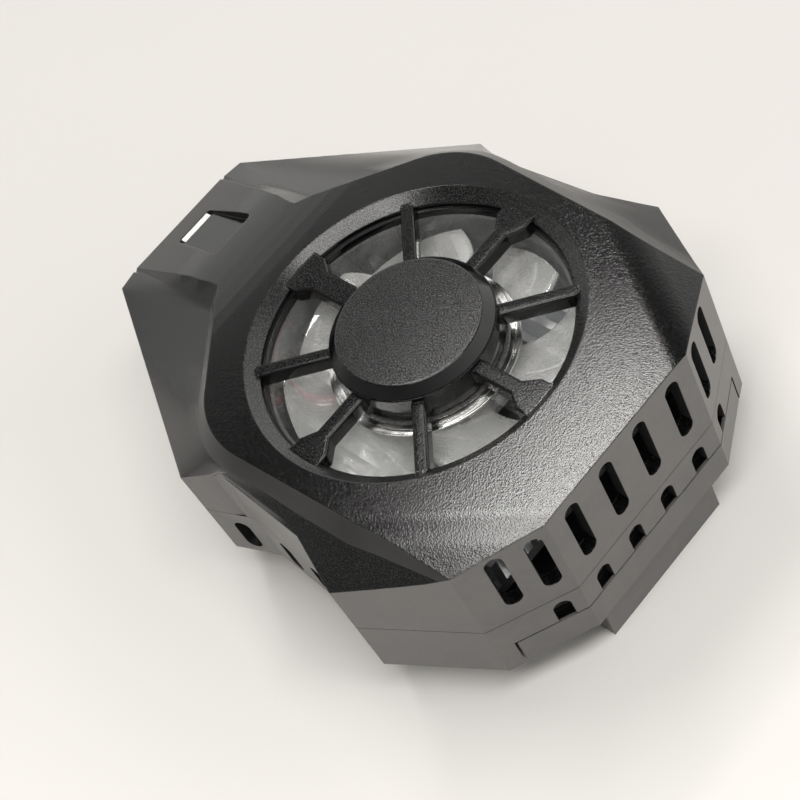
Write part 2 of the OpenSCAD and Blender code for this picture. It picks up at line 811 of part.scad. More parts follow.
module sliding_clip() {
    half = clip_w / 2;
    color([0.18, 0.18, 0.18]) {
        intersection() {
            block([clip_back, -half, clip_z], [vent_wall_x, half, clip_top_z]);
            difference() {
                prism(plan, clip_z, clip_top_z);
                prism(moved(plan, -clip_t), clip_z + clip_floor_t, clip_top_z + 1);
            }
        }
        blocks_both_sides([arm_end, arm_in, arm_z0], [shoulder_x, arm_out, arm_z1]);
        blocks_both_sides([clip_back, arm_in, clip_z], [shoulder_x, arm_out, arm_z1]);
        blocks_both_sides([arm_end, arm_in, arm_z0], [arm_end + heel_l, arm_out, sink_z - clip_gap]);
        blocks_both_sides(
            [spring_pin_x - 1, spring_y - 1, arm_z0],
            [arm_end + eps, spring_y + 1, arm_z0 + spring_tab_t]
        );
        rods(
            [[spring_pin_x, spring_y], [spring_pin_x, -spring_y]],
            arm_z0, spring_z + spring_r, spring_pin_r
        );
        block([jaw_out - jaw_t, -jaw_w / 2, -jaw_reach], [jaw_out, jaw_w / 2, clip_z + eps]);
    }
}

// Tension springs between the case and the clip's arms, each with an eye at both ends
module return_springs() {
    eye_outer = spring_eye_r + spring_wire;
    from = spring_post_x + eye_outer - spring_wire / 2;
    to = spring_pin_x - eye_outer + spring_wire / 2;
    color([0.75, 0.75, 0.75])
        for (y = [spring_y, -spring_y])
            translate([0, y, spring_z]) {
                translate([from, 0, 0])
                    rotate([0, 90, 0])
                        ring(0, to - from, spring_r - spring_wire, spring_r);
                for (x = [spring_post_x, spring_pin_x])
                    translate([x, 0, 0])
                        ring(-spring_wire / 2, spring_wire / 2, spring_eye_r, eye_outer);
                for (x = [from, to - spring_wire])
                    translate([x, 0, 0])
                        rotate([0, 90, 0])
                            rod(0, 0, 0, spring_wire, spring_r);
            }
}

// Fan and its motor
rotor_z0 = fan_z + 2.4;
rotor_z1 = rotor_z0 + rotor_h;
rotor_top_t = 0.9;
rotor_wall = 0.7;
tip_r = duct_r - tip_gap;
yoke_r = rotor_hub_r - rotor_wall - fit_gap;
yoke_t = 0.6;
magnet_r = yoke_r - yoke_t - fit_gap;
magnet_t = 1.2;
air_gap = 0.35;
pole_r = magnet_r - magnet_t - air_gap;
sleeve_r = shaft_r + 1.5;
sleeve_z0 = fan_z + 1;
sleeve_z1 = rotor_z1 - rotor_top_t - 0.6;
tube_r = sleeve_r + 0.8;
motor_base_r = 9;
motor_base_t = 1.2;
stator_z0 = fan_z + 2.6;
stator_z1 = stator_z0 + 2.2;
fan_lug = 18;
fan_lug_r = 3;
fan_lug_w = 5.4;
fan_lug_t = 2;
fan_places = four_corners(fan_lug, fan_lug);
wire_exit_turn = 215.5;
wire_notch_w = 5;
wire_notch_h = 2.2;
strut_w = 2.4;

module fan_frame() {
    color([0.85, 0.88, 0.9, 0.45])
        difference() {
            union() {
                ring(fan_z, fan_top_z, duct_r, duct_r + duct_t);
                rod(0, 0, fan_z, fan_z + motor_base_t, motor_base_r);
                rod(0, 0, fan_z, stator_z0, tube_r + 0.9);
                rod(0, 0, fan_z, stator_z1 - 0.3, tube_r);
                for (turn = [15 : 90 : 285])
                    rotate(turn)
                        block(
                            [motor_base_r - 1, -strut_w / 2, fan_z],
                            [duct_r + duct_t / 2, strut_w / 2, fan_z + motor_base_t]
                        );
                for (turn = [45 : 90 : 315])
                    rotate(turn) {
                        block([duct_r + duct_t / 2, -fan_lug_w / 2, fan_z],
                            [fan_lug * sqrt(2), fan_lug_w / 2, fan_z + fan_lug_t]);
                        rod(fan_lug * sqrt(2), 0, fan_z, fan_z + fan_lug_t, fan_lug_r);
                    }
            }
            rods(fan_places, fan_z - eps, fan_top_z, screw_r + hole_gap);
            rods(fan_places, fan_z + fan_lug_t, fan_top_z, screw_head_r + hole_gap);
            rod(0, 0, fan_z - eps, fan_top_z, sleeve_r - 0.3);
            rod(0, 0, sleeve_z0, fan_top_z, sleeve_r + fit_gap);
            rotate(wire_exit_turn)
                translate([duct_r - 1, -wire_notch_w / 2, fan_z + motor_base_t / 2])
                    cube([duct_t + 2, wire_notch_w, wire_notch_h]);
        }
}

// One blade as a thin curved sheet that rises and sweeps forward, out of a grid of points
blade_rows = 6;
blade_columns = 8;
blade_arc = 320 / blade_count;
blade_sweep = 14;
blade_lift = 0.1;
blade_root_r = rotor_hub_r - rotor_wall / 2;

function blade_point(i, j, up) =
    let (u = i / blade_rows, s = j / blade_columns, r = blade_root_r + (tip_r - blade_root_r) * u)
    let (turn = blade_arc * s + blade_sweep * u * u, rise = rotor_h - blade_t - 2 * blade_lift)
    [r * cos(turn), r * sin(turn), rotor_z0 + blade_lift + rise * (1 - pow(s, 1.25)) + up * blade_t];
function split(a, b, c, d) = [[a, b, c], [a, c, d]];

module blade() {
    row = blade_columns + 1;
    sheet = (blade_rows + 1) * row;
    points = [for (up = [0, 1], i = [0 : blade_rows], j = [0 : blade_columns]) blade_point(i, j, up)];
    cells = [for (i = [0 : blade_rows - 1], j = [0 : blade_columns - 1]) i * row + j];
    low = [for (c = cells) each split(c, c + row, c + row + 1, c + 1)];
    high = [for (c = cells) each split(sheet + c, sheet + c + 1, sheet + c + row + 1, sheet + c + row)];
    last = blade_rows * row;
    root = [for (j = [0 : row - 2]) each split(j, j + 1, sheet + j + 1, sheet + j)];
    tip = [for (j = [last : last + row - 2]) each split(j + 1, j, sheet + j, sheet + j + 1)];
    front = [for (i = [0 : row : last - row]) each split(i + row, i, sheet + i, sheet + i + row)];
    end = blade_columns;
    back = [for (i = [end : row : end + last - row])
        each split(i, i + row, sheet + i + row, sheet + i)];
    polyhedron(points, concat(low, high, root, tip, front, back), convexity = 4);
}

module fan_rotor() {
    hub_low = rotor_z1 - rotor_top_t;
    color([0.85, 0.88, 0.9, 0.45]) {
        for (i = [0 : blade_count - 1])
            rotate(360 / blade_count * i)
                blade();
        ring(rotor_z0, rotor_z1, rotor_hub_r - rotor_wall, rotor_hub_r);
        difference() {
            union() {
                rod(0, 0, hub_low, rotor_z1, rotor_hub_r - eps);
                rod(0, 0, sleeve_z1 + 0.2, rotor_z1 - eps, sleeve_r - 0.1);
            }
            rod(0, 0, sleeve_z1, hub_low + rotor_top_t / 2, shaft_r + fit_gap);
        }
    }
}

module rotor_yoke() {
    top = rotor_z1 - rotor_top_t;
    color([0.78, 0.78, 0.8]) {
        ring(rotor_z0 + 0.1, top, yoke_r - yoke_t, yoke_r);
        ring(top - yoke_t, top, pole_r, yoke_r - eps);
    }
}

module magnet_ring() {
    color([0.25, 0.24, 0.24])
        ring(rotor_z0 + 0.2, rotor_z1 - rotor_top_t - yoke_t, magnet_r - magnet_t, magnet_r);
}

module motor_shaft() {
    color([0.8, 0.8, 0.82])
        rod(0, 0, fan_z + 0.3, rotor_z1 - rotor_top_t / 2, shaft_r);
}

module shaft_clip() {
    color([0.8, 0.8, 0.75])
        ring(sleeve_z0 - 0.5, sleeve_z0 - 0.2, shaft_r + fit_gap, sleeve_r - 0.6);
}

module bearing_sleeve() {
    color([0.72, 0.55, 0.3])
        ring(sleeve_z0, sleeve_z1, shaft_r + shaft_play, sleeve_r);
}

pole_w = 2;
pole_yoke_t = 1.3;
pole_neck = tube_r + pole_yoke_t;
pole_shoe_t = 0.9;

module stator_core() {
    color([0.55, 0.56, 0.58])
        difference() {
            union() {
                rod(0, 0, stator_z0, stator_z1, pole_neck);
                for (turn = [0 : 90 : 270])
                    rotate(turn)
                        block([0, -pole_w / 2, stator_z0], [pole_r - pole_shoe_t / 2, pole_w / 2, stator_z1]);
                difference() {
                    ring(stator_z0, stator_z1, pole_r - pole_shoe_t, pole_r);
                    for (turn = [45 : 90 : 315])
                        rotate(turn)
                            block([0, -pole_w / 2, stator_z0 - 1], [big, pole_w / 2, stator_z1 + 1]);
                }
            }
            rod(0, 0, stator_z0 - 1, stator_z1 + 1, tube_r + fit_gap);
        }
}

module stator_coils() {
    coil_t = 0.5;
    gap = 0.05;
    color([0.72, 0.38, 0.2])
        for (turn = [0 : 90 : 270])
            rotate(turn)
                difference() {
                    intersection() {
                        block([pole_neck + gap, -pole_w / 2 - gap - coil_t, stator_z0 - coil_t],
                            [pole_r, pole_w / 2 + gap + coil_t, stator_z1 + coil_t]);
                        rod(0, 0, stator_z0 - coil_t, stator_z1 + coil_t, pole_r - pole_shoe_t - gap);
                    }
                    block([0, -pole_w / 2 - gap, stator_z0 - gap],
                        [pole_r, pole_w / 2 + gap, stator_z1 + gap]);
                }
}

motor_board_t = 0.8;
motor_board_z0 = fan_z + motor_base_t;

module motor_board() {
    color([0.1, 0.35, 0.2])
        ring(motor_board_z0, motor_board_z0 + motor_board_t, tube_r + 0.9 + fit_gap, motor_base_r - 0.6);
}

// Cooler stack
fin_count = floor((sink_w - fin_t) / fin_pitch) + 1;
fan_boss_r = 2.8;
driver_gap = 0.6;

module heat_sink() {
    span = (fin_count - 1) * fin_pitch;
    color([0.8, 0.81, 0.82])
        difference() {
            union() {
                intersection() {
                    block([-sink_l / 2, -sink_w / 2, sink_z], [sink_l / 2, sink_w / 2, fin_z]);
                    prism(moved(plan, -wall_t - hole_gap), sink_z, fin_z);
                }
                difference() {
                    intersection() {
                        for (i = [0 : fin_count - 1]) {
                            y = i * fin_pitch - span / 2;
                            block(
                                [-sink_l / 2, y - fin_t / 2, fin_z - eps],
                                [sink_l / 2, y + fin_t / 2, fan_z]
                            );
                        }
                        prism(moved(plan, -wall_t - hole_gap), fin_z - eps, fan_z);
                    }
                    rods(clamp_places, fin_z, fan_z + 1, screw_head_r + driver_gap);
                }
                rods(fan_places, fin_z - eps, fan_z, fan_boss_r);
            }
            rods(clamp_places, sink_z - 1, fin_z + 1, screw_r + hole_gap);
            rods(fan_places, fin_z, fan_z + 1, screw_r + fit_gap);
            rods(case_boss_places, sink_z - 1, fan_z + 1, boss_r + hole_gap);
        }
}

module insulation_frame() {
    inner = module_w / 2 + hole_gap;
    color([0.93, 0.93, 0.9])
        difference() {
            block([-flange_l / 2, -flange_w / 2, flange_z], [flange_l / 2, flange_w / 2, sink_z]);
            block([-inner, -inner, flange_z - 1], [inner, inner, sink_z + 1]);
            rods(clamp_places, flange_z - 1, sink_z + 1, screw_r + hole_gap);
            blocks_both_sides(
                [-flange_l, lead_y - wire_d, flange_z + 1],
                [-inner + eps, lead_y + wire_d, sink_z + 1]
            );
        }
}

module peltier_module() {
    plate = 0.8;
    half = module_w / 2;
    pellet = 1.4;
    pitch = 3;
    count = floor((module_w - 2) / pitch);
    span = (count - 1) * pitch;
    color([0.95, 0.95, 0.96]) {
        for (z = [flange_z, sink_z - plate])
            block([-half, -half, z], [half, half, z + plate]);
        for (i = [0 : count - 1], j = [0 : count - 1])
            translate([i * pitch - span / 2, j * pitch - span / 2, 0])
                block([-pellet / 2, -pellet / 2, flange_z + plate - eps],
                    [pellet / 2, pellet / 2, sink_z - plate + eps]);
    }
}

module cold_plate() {
    half = plate_w / 2;
    color([0.82, 0.83, 0.84])
        difference() {
            union() {
                block([-half, -half, pad_t], [half, half, floor_z + eps]);
                block([-flange_l / 2, -flange_w / 2, floor_z], [flange_l / 2, flange_w / 2, flange_z]);
            }
            rods(clamp_places, floor_z - eps, flange_z + 1, screw_r + fit_gap);
        }
}

module contact_pad() {
    corner_r = 3;
    half = plate_w / 2;
    color([0.45, 0.46, 0.48])
        translate([-half, 0, 0])
            linear_extrude(pad_t)
                polygon(rounded_plan(rectangle(plate_w, plate_w), corner_r));
}

// Main board with its parts, the power socket and the light
chip_l = 5;
chip_w = 4;
chip_h = 1.1;
coil_l = 3.2;
coil_w = 2;
coil_h = 1.6;
part_gap = 0.4;
parts_x = board_x + board_l * 0.68;
coil_y = (chip_w + coil_w) / 2 + part_gap;

module main_board() {
    color([0.08, 0.25, 0.15])
        difference() {
            union() {
                block([board_x, -board_w / 2, board_z0], [board_x + board_l, board_w / 2, board_z1]);
                translate([parts_x, 0, board_z1])
                    block([-chip_l / 2, -chip_w / 2, -eps], [chip_l / 2, chip_w / 2, chip_h]);
                translate([parts_x, coil_y, board_z1])
                    block([-coil_l / 2, -coil_w / 2, -eps], [coil_l / 2, coil_w / 2, coil_h]);
            }
            rods(board_posts, board_z0 - 1, board_z1 + 1, screw_r + hole_gap);
        }
}

module usb_socket() {
    shell_t = 0.3;
    tongue_t = 0.7;
    inner_w = socket_w - 2 * shell_t;
    color([0.75, 0.76, 0.78])
        translate([socket_x, 0, socket_mid])
            rotate([90, 0, 90]) {
                difference() {
                    linear_extrude(socket_l)
                        rotate(90)
                            oblong(socket_h, -socket_w / 2, socket_w / 2);
                    translate([0, 0, -1])
                        linear_extrude(socket_l)
                            rotate(90)
                                oblong(socket_h - 2 * shell_t, -inner_w / 2, inner_w / 2);
                }
                translate([-socket_w / 2 + socket_h / 2, -tongue_t / 2, 0.6])
                    cube([socket_w - socket_h, tongue_t, socket_l - 1]);
            }
}

module status_led() {
    color([1, 1, 0.9])
        block([led_x, -0.8, board_z1], [led_x + led_l, 0.8, board_z1 + led_h]);
}

// Wires: the fan's pair over the heat sink, the module's pair under it, both to the main board
lead_y = 5;
fan_wire_z = motor_board_z0 + wire_d / 2 + 0.05;
lead_z = sink_z - 1.1 - wire_d / 2;
over_sink = fan_z + 0.3 + wire_d / 2;
red_fan_route = [
    [-6.2, -6, fan_wire_z], [-9.2, -9.2, fan_wire_z], [-12.6, -11.2, fan_wire_z],
    [-16.9, -10.9, fan_wire_z], [-20.8, -10.2, over_sink], [-24, -8, over_sink - 0.4], [-26.6, -4.6, board_z1 + 1.8],
    [-27.6, -3.1, board_z1 + 1], [-27.6, -3.1, board_z1 + 0.02]
];
black_fan_route = [
    [-5.4, -6.8, fan_wire_z], [-8.3, -10.1, fan_wire_z], [-12.2, -12.6, fan_wire_z],
    [-17, -11.9, fan_wire_z], [-21, -11.8, over_sink], [-25, -9.4, over_sink - 0.4], [-28, -6.2, board_z1 + 1.8],
    [-29.1, -4.9, board_z1 + 1], [-29.1, -4.9, board_z1 + 0.02]
];
lead_route = [
    [-module_w / 2 - 0.05, lead_y, lead_z], [-20, lead_y, lead_z], [-24, 4.6, lead_z + 0.4],
    [-27, 4.1, lead_z + 1.6], [-28.6, 4, board_z0 - 1], [-28.6, 4, board_z0 - 0.02]
];

// Tube of eight sides along a list of points
function tangent(path, i) =
    unit(path[min(i + 1, len(path) - 1)] - path[max(i - 1, 0)]);
function tube_ring(path, i, r) =
    let (t = tangent(path, i), up = abs(t[2]) > 0.9 ? [1, 0, 0] : [0, 0, 1])
    let (u = unit(cross(t, up)), v = cross(t, u))
    [for (k = [0 : 7]) path[i] + r * (cos(45 * k) * u + sin(45 * k) * v)];

module wire(path) {
    n = len(path);
    points = [for (i = [0 : n - 1]) each tube_ring(path, i, wire_d / 2)];
    sides = [for (i = [0 : n - 2], k = [0 : 7])
        let (a = 8 * i + k, b = 8 * i + (k + 1) % 8)
        each split(a, a + 8, b + 8, b)];
    polyhedron(points, concat(sides, [[for (k = [0 : 7]) k]], [[for (k = [7 : -1 : 0]) 8 * (n - 1) + k]]));
}

module red_wires() {
    color([0.75, 0.08, 0.08]) {
        wire(red_fan_route);
        wire(lead_route);
    }
}

module black_wires() {
    color([0.06, 0.06, 0.06]) {
        wire(black_fan_route);
        mirror([0, 1, 0])
            wire(lead_route);
    }
}

// A pan-head screw whose head stands on seat, pointing down to tip
module screw_down(p, seat, tip) {
    rod(p[0], p[1], seat, seat + screw_head_h, screw_head_r);
    rod(p[0], p[1], tip, seat + eps, screw_r);
}

module case_screws() {
    color([0.5, 0.5, 0.52])
        for (p = case_boss_places) {
            rod(p[0], p[1], screw_seat_z - screw_head_h, screw_seat_z, screw_head_r);
            rod(p[0], p[1], screw_seat_z - eps, parting_z + case_screw_bite, screw_r);
        }
}

module clamp_screws() {
    color([0.6, 0.6, 0.62])
        for (p = clamp_places)
            screw_down(p, fin_z, floor_z + 0.1);
}

module fan_screws() {
    color([0.6, 0.6, 0.62])
        for (p = fan_places)
            screw_down(p, fan_z + fan_lug_t, fin_z + 0.6);
}

module board_screws() {
    color([0.6, 0.6, 0.62])
        for (p = board_posts)
            screw_down(p, board_z1, board_z0 - board_screw_bite);
}

top_cover();
fan_grille();
hub_cap();
light_guide();
lower_case();
fixed_jaw_pad();
sliding_clip();
clip_jaw_pad();
return_springs();
fan_frame();
fan_rotor();
rotor_yoke();
magnet_ring();
motor_shaft();
shaft_clip();
bearing_sleeve();
stator_core();
stator_coils();
motor_board();
heat_sink();
insulation_frame();
peltier_module();
cold_plate();
contact_pad();
main_board();
usb_socket();
status_led();
red_wires();
black_wires();
case_screws();
clamp_screws();
fan_screws();
board_screws();
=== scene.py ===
"""Looks of the clip-on phone cooling fan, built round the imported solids."""
import math

import bmesh
import bpy
from mathutils import Matrix, Vector


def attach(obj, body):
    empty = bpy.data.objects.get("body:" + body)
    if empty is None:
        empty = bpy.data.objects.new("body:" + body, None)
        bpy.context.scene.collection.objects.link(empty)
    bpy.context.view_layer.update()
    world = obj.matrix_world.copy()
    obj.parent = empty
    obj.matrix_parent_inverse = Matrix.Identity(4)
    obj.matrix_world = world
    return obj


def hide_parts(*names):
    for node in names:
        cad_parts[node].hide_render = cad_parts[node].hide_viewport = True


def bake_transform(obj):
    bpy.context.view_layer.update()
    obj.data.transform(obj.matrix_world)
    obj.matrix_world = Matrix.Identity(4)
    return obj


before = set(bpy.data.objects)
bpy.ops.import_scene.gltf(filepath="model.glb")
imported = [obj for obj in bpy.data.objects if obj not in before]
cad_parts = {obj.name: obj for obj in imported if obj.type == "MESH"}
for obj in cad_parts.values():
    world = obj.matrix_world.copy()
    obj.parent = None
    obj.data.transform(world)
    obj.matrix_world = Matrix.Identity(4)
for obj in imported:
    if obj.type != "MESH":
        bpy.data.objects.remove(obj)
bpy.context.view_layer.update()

MM = 0.001

# Lengths of the object are in millimetres, and most of them repeat the CAD model's.
# Case: its levels, and the corners on its +Y side from the vent wall back to the tail
TABLE_Z, BOTTOM_Z, PARTING_Z = -6.8, 1.0, 10.6
HALF_PLAN = [
    (32.4, 12.8), (26.6, 23.4), (12.4, 31.4), (5, 28.4),
    (-10.4, 27.4), (-17.2, 29.9), (-49.8, 12.4), (-50.4, 8.8),
]
# Limits between the finishes of the case
OPENING_R, RING_R, RING_Z = 20.3, 23, 21
FLANK_Y, BAND_Z = 12.5, 22.9
WALL_NEAR = 0.6
# Sliding clip: the top, inner limit and thickness of its rim, and the groove along its top
CLIP_TOP_Z, CLIP_RIM_X, CLIP_RIM_T = 5.6, 25.0, 2.0
CLIP_LIP, GROOVE_DEPTH, GROOVE_DRAFT = 0.45, 1.8, 0.02
# Grille: spokes, a little proud of the ends that the cover has of them, and hub
SPOKE_Z0, SPOKE_Z1, SPOKE_ROOT, SPOKE_TIP = 21.7, 24.0, 10.0, 20.95
STRAIGHT_W, FLARED_W, BROAD_W = 1.8, 2.1, 3.2
FLARE_FOOT_X, FLARE_X, FLARE_Y = 16.9, 18.9, 1.4
SPOKE_ROUND, PROUD = 0.4, 0.03
HUB_Z0, HUB_Z1, HUB_ROOF, HUB_R, HUB_SKIRT_R, PEG_HOLE_R = 20.7, 24.7, 1.6, 10.8, 9.6, 2.05
# Cap, with its peg
CAP_Z1, CAP_TOP_R, CAP_R, CAP_FOOT_R, PEG_R = 26.1, 9.4, 10.75, 10.6, 2.0
# Rotor: hub, boss round the shaft's bore, and blades with their angles in degrees
ROTOR_Z0, ROTOR_Z1, ROTOR_R, ROTOR_WALL, ROTOR_ROOF = 15.4, 20.2, 11.4, 0.7, 0.9
NECK_STEP, NECK_H, SHOULDER_H = 0.3, 0.8, 1.0
BOSS_R, BOSS_Z, BORE_R, BORE_ROOF = 2.4, 18.9, 1.02, 0.45
BLADES, BLADE_T, BLADE_RISE, BLADE_BEND = 7, 0.9, 3.7, 1.25
BLADE_SWEEP, BLADE_LEAN = 320 / BLADES, 14
BLADE_R0, BLADE_R1 = ROTOR_R - ROTOR_WALL / 2, 18.9
BLADE_FOOT_Z, BLADE_EDGE = ROTOR_Z0 + 0.1, 0.5
# Power socket and the tongue in it
SOCKET_Z, TONGUE_HALF_H, TONGUE_HALF_W = 12.6, 0.5, 3.2
# Jaw pads and their ribs
FIXED_PAD_X, CLIP_PAD_X = -44.1, 27.0
PAD_T, PAD_HALF, PAD_Z0, PAD_Z1, PAD_ROUND = 1.5, 9.7, -6.3, 0.4, 0.12
RIBS, RIB_W, RIB_H = 12, 0.95, 0.5
RIB_STEP = 2 * PAD_HALF / RIBS
# Springs, between a post on the case and a pin on the clip
SPRING_Y, SPRING_Z, SPRING_R, SPRING_WIRE, TURNS = 19.1, 4.6, 1.5, 0.5, 24
POST_X, PIN_X = -26.0, -7.6
EYE_R, EYE_SHARE, COIL_TAIL, WIRE_SLACK = 0.9 + SPRING_WIRE / 2, 0.97, 0.3, 0.02
# Case screws
SCREWS = [(11.4, 27.2), (11.4, -27.2), (-33.0, 15.3), (-33.0, -15.3)]
CROSS_REACH, CROSS_HALF, CROSS_TAPER = 1.05, 0.24, 0.6
# Wires, as points along their middles
WIRE_R = 0.45
RED_FAN_ROUTE = [
    (-6.2, -6, 14.7), (-9.2, -9.2, 14.7), (-12.6, -11.2, 14.7),
    (-16.9, -10.9, 14.7), (-20.8, -10.2, 13.75), (-24, -8, 13.35),
    (-26.6, -4.6, 12.8), (-27.6, -3.1, 12), (-27.6, -3.1, 11.02),
]
BLACK_FAN_ROUTE = [
    (-5.4, -6.8, 14.7), (-8.3, -10.1, 14.7), (-12.2, -12.6, 14.7),
    (-17, -11.9, 14.7), (-21, -11.8, 13.75), (-25, -9.4, 13.35),
    (-28, -6.2, 12.8), (-29.1, -4.9, 12), (-29.1, -4.9, 11.02),
]
RED_LEAD_ROUTE = [
    (-15.05, 5, 5.45), (-20, 5, 5.45), (-24, 4.6, 5.85),
    (-27, 4.1, 7.05), (-28.6, 4, 8.8), (-28.6, 4, 9.78),
]
BLACK_LEAD_ROUTE = [(x, -y, z) for x, y, z in RED_LEAD_ROUTE]

# Camera, at the photograph's viewing angle
PHOTO_PX, FOCAL_PX, SENSOR_MM = 800, 1868.93, 36
SIGHT_FROM, SIGHT_TO = 0.01, 20
CAMERA_AT = Vector((137.2225, -62.9426, 192.4306)) * MM
CAMERA_RIGHT = Vector((0.6940831, 0.6358474, -0.3375599))
CAMERA_DOWN = Vector((0.4019366, -0.7312925, -0.5510519))
CAMERA_FORWARD = Vector((-0.59724, 0.2467981, -0.7631481))

# Studio, in metres
FLOOR_HALF = 3.0
# Floor colours from dim to bright towards the camera side: a painted light falloff across the
# table.
FLOOR_DIM, FLOOR_BRIGHT = (0.71, 0.69, 0.665), (0.88, 0.86, 0.83)
FLOOR_GRADE = (-0.04, 0.08)
# Panels of light that face down: place, direction of the length, length, width and power
PANEL_Z = 0.72
PANEL_TINT = (1, 0.985, 0.96)
PANELS = [
    ("panel_back", (-0.3925, 0.222), (0, 1, 0), 0.20, 0.08, 1.03),
    ("panel_top", (-0.257, 0.014), (-0.55, 0.835, 0), 0.33, 0.075, 1.2),
    ("panel_front", (0.278, -0.104), (-0.38, -0.93, 0), 0.70, 0.19, 4.1),
]
# Surroundings: levels by height, and how strong they are by direction
SKY = [(0.0, 0.85), (0.15, 0.90), (0.65, 0.90), (0.69, 0.70), (0.715, 0.05), (1.0, 0.05)]
SKY_TINT = (1, 0.99, 0.97)
BRIGHT_WAY = (0.0, 1.0, 0.0)
BRIGHT_SPAN = (("From Min", -0.7), ("From Max", 0.7), ("To Min", 0.3), ("To Max", 1.6))


def add_object(name, data):
    piece = bpy.data.objects.new(name, data)
    bpy.context.scene.collection.objects.link(piece)
    return piece


def make_camera():
    data = bpy.data.cameras.new("camera")
    data.sensor_width = SENSOR_MM
    data.lens = FOCAL_PX / PHOTO_PX * data.sensor_width
    data.clip_start, data.clip_end = SIGHT_FROM, SIGHT_TO
    camera = add_object("camera", data)
    axes = Matrix((CAMERA_RIGHT, -CAMERA_DOWN, -CAMERA_FORWARD)).transposed()
    camera.matrix_world = Matrix.Translation(CAMERA_AT) @ axes.to_4x4()
    bpy.context.scene.camera = camera


# Materials, with the sizes and depths of their grain in millimetres
NOISE_RANGE = (0.3, 0.7)
PLASTIC_IOR, CLEAR_IOR = 1.5, 1.49
BEVEL_SAMPLES = 6
GRAIN_SIZE = 0.15


class Look:
    """A material with colour, roughness and relief from nodes, in object coordinates."""

    def __init__(self, name, edge_mm=0.0, **sockets):
        self.material = bpy.data.materials.new(name)
        self.material.use_nodes = True
        self.tree = self.material.node_tree
        self.shader = self.tree.nodes["Principled BSDF"]
        self.place = self.add("ShaderNodeTexCoord").outputs["Object"]
        self.edge = None
        if edge_mm:
            bevel = self.add("ShaderNodeBevel", Radius=edge_mm * MM)
            bevel.samples = BEVEL_SAMPLES
            self.edge = bevel.outputs["Normal"]
        for socket, value in sockets.items():
            self.feed(socket.replace("_", " "), value)

    def put(self, value, socket):
        """Links a node's output to a socket, or sets a constant there."""
        if hasattr(value, "is_output"):
            self.tree.links.new(value, socket)
        else:
            socket.default_value = value

    def feed(self, socket, value):
        self.put(value, self.shader.inputs[socket])

    def add(self, kind, **inputs):
        node = self.tree.nodes.new(kind)
        for name, value in inputs.items():
            self.put(value, node.inputs[name.replace("_", " ")])
        return node

    def coordinate(self, axis):
        return self.add("ShaderNodeSeparateXYZ", Vector=self.place).outputs[axis]

    def noise(self, size, detail, rough=0.5, stretch=None):
        place = self.place
        if stretch:
            place = self.add("ShaderNodeMapping", Vector=place, Scale=stretch).outputs["Vector"]
        node = self.add("ShaderNodeTexNoise", Vector=place, Scale=1 / (size * MM),
                        Detail=detail, Roughness=rough)
        return node.outputs["Fac"]

    def cells(self, size):
        node = self.add("ShaderNodeTexVoronoi", Vector=self.place, Scale=1 / (size * MM))
        return node.outputs["Distance"]

    def span(self, value, low, high, new_low, new_high):
        """A value from low to high, brought to lie from new_low to new_high."""
        node = self.add("ShaderNodeMapRange", Value=value, From_Min=low, From_Max=high,
                        To_Min=new_low, To_Max=new_high)
        return node.outputs["Result"]

    def vary(self, noise, low, high):
        return self.span(noise, *NOISE_RANGE, low, high)

    def ramp(self, value, start, end):
        """A colour between two, each given with its place along the value."""
        node = self.add("ShaderNodeValToRGB", Fac=value)
        for mark, (place, colour) in zip(node.color_ramp.elements, (start, end)):
            mark.position = place
            mark.color = (*colour, 1)
        return node.outputs["Color"]

    def mix(self, share, first, second):
        """The first colour where the share is 0, and the second where it is 1."""
        node = self.add("ShaderNodeMix")
        node.data_type = "RGBA"
        colours = [socket for socket in node.inputs if socket.type == "RGBA"]
        for socket, value in zip((node.inputs[0], *colours), (share, first, second)):
            self.put(value, socket)
        return next(socket for socket in node.outputs if socket.type == "RGBA")

    def calc(self, kind, a, b=0.0):
        node = self.add("ShaderNodeMath")
        node.operation = kind
        for socket, value in zip(node.inputs, (a, b)):
            self.put(value, socket)
        return node.outputs["Value"]

    def blend(self, a, b, share):
        """A share of b, and a for the rest."""
        rest = self.calc("MULTIPLY", a, 1 - share)
        return self.calc("ADD", rest, self.calc("MULTIPLY", b, share))

    def relief(self, height, depth, strength=1.0, under=None):
        """Bumps on top of another relief, or of the softened edges."""
        node = self.add("ShaderNodeBump", Height=height, Strength=strength, Distance=depth * MM)
        under = under or self.edge
        if under:
            self.put(under, node.inputs["Normal"])
        return node.outputs["Normal"]


def grey(level, warm=0.0):
    return (level * (1 + warm), level, level * (1 - warm))


def grained(name, dark, light, rough, depth, band=None, shine=0.5):
    """Black plastic with a spark-eroded grain whose light specks are partly painted glints, smooth
    and with a greyer painted sheen above the height of a band.
    """
    look = Look(name, edge_mm=0.25, IOR=PLASTIC_IOR, Specular_IOR_Level=shine)
    grain = look.noise(GRAIN_SIZE, detail=1)
    cloud = look.noise(size=9, detail=3)
    fleck = look.cells(GRAIN_SIZE * 2)
    # Light specks where the grain is high: partly the grain's own tone, partly painted glints.
    colour = look.ramp(look.blend(grain, cloud, 0.1), (0.5, grey(dark)), (0.62, grey(light)))
    roughness = look.vary(grain, rough + 0.03, rough - 0.03)
    if band:
        soft_edge = 0.04
        low, high = (band - soft_edge) * MM, (band + soft_edge) * MM
        share = look.span(look.coordinate("Z"), low, high, 0, 1)
        # The greyer colour of the band is painted sheen; its smoothness, without grain, is its own
        # finish.
        smooth = look.ramp(cloud, (0.35, grey(0.030, 0.02)), (0.7, grey(0.042, 0.02)))
        colour = look.mix(share, colour, smooth)
        grain = look.calc("MULTIPLY", grain, look.span(share, 0, 1, 1, 0.1))
        roughness = look.calc("ADD", roughness, look.span(share, 0, 1, 0, 0.16))
    look.feed("Base Color", colour)
    look.feed("Roughness", roughness)
    look.feed("Normal", look.relief(grain, depth, under=look.relief(fleck, depth * 0.5)))
    return look.material


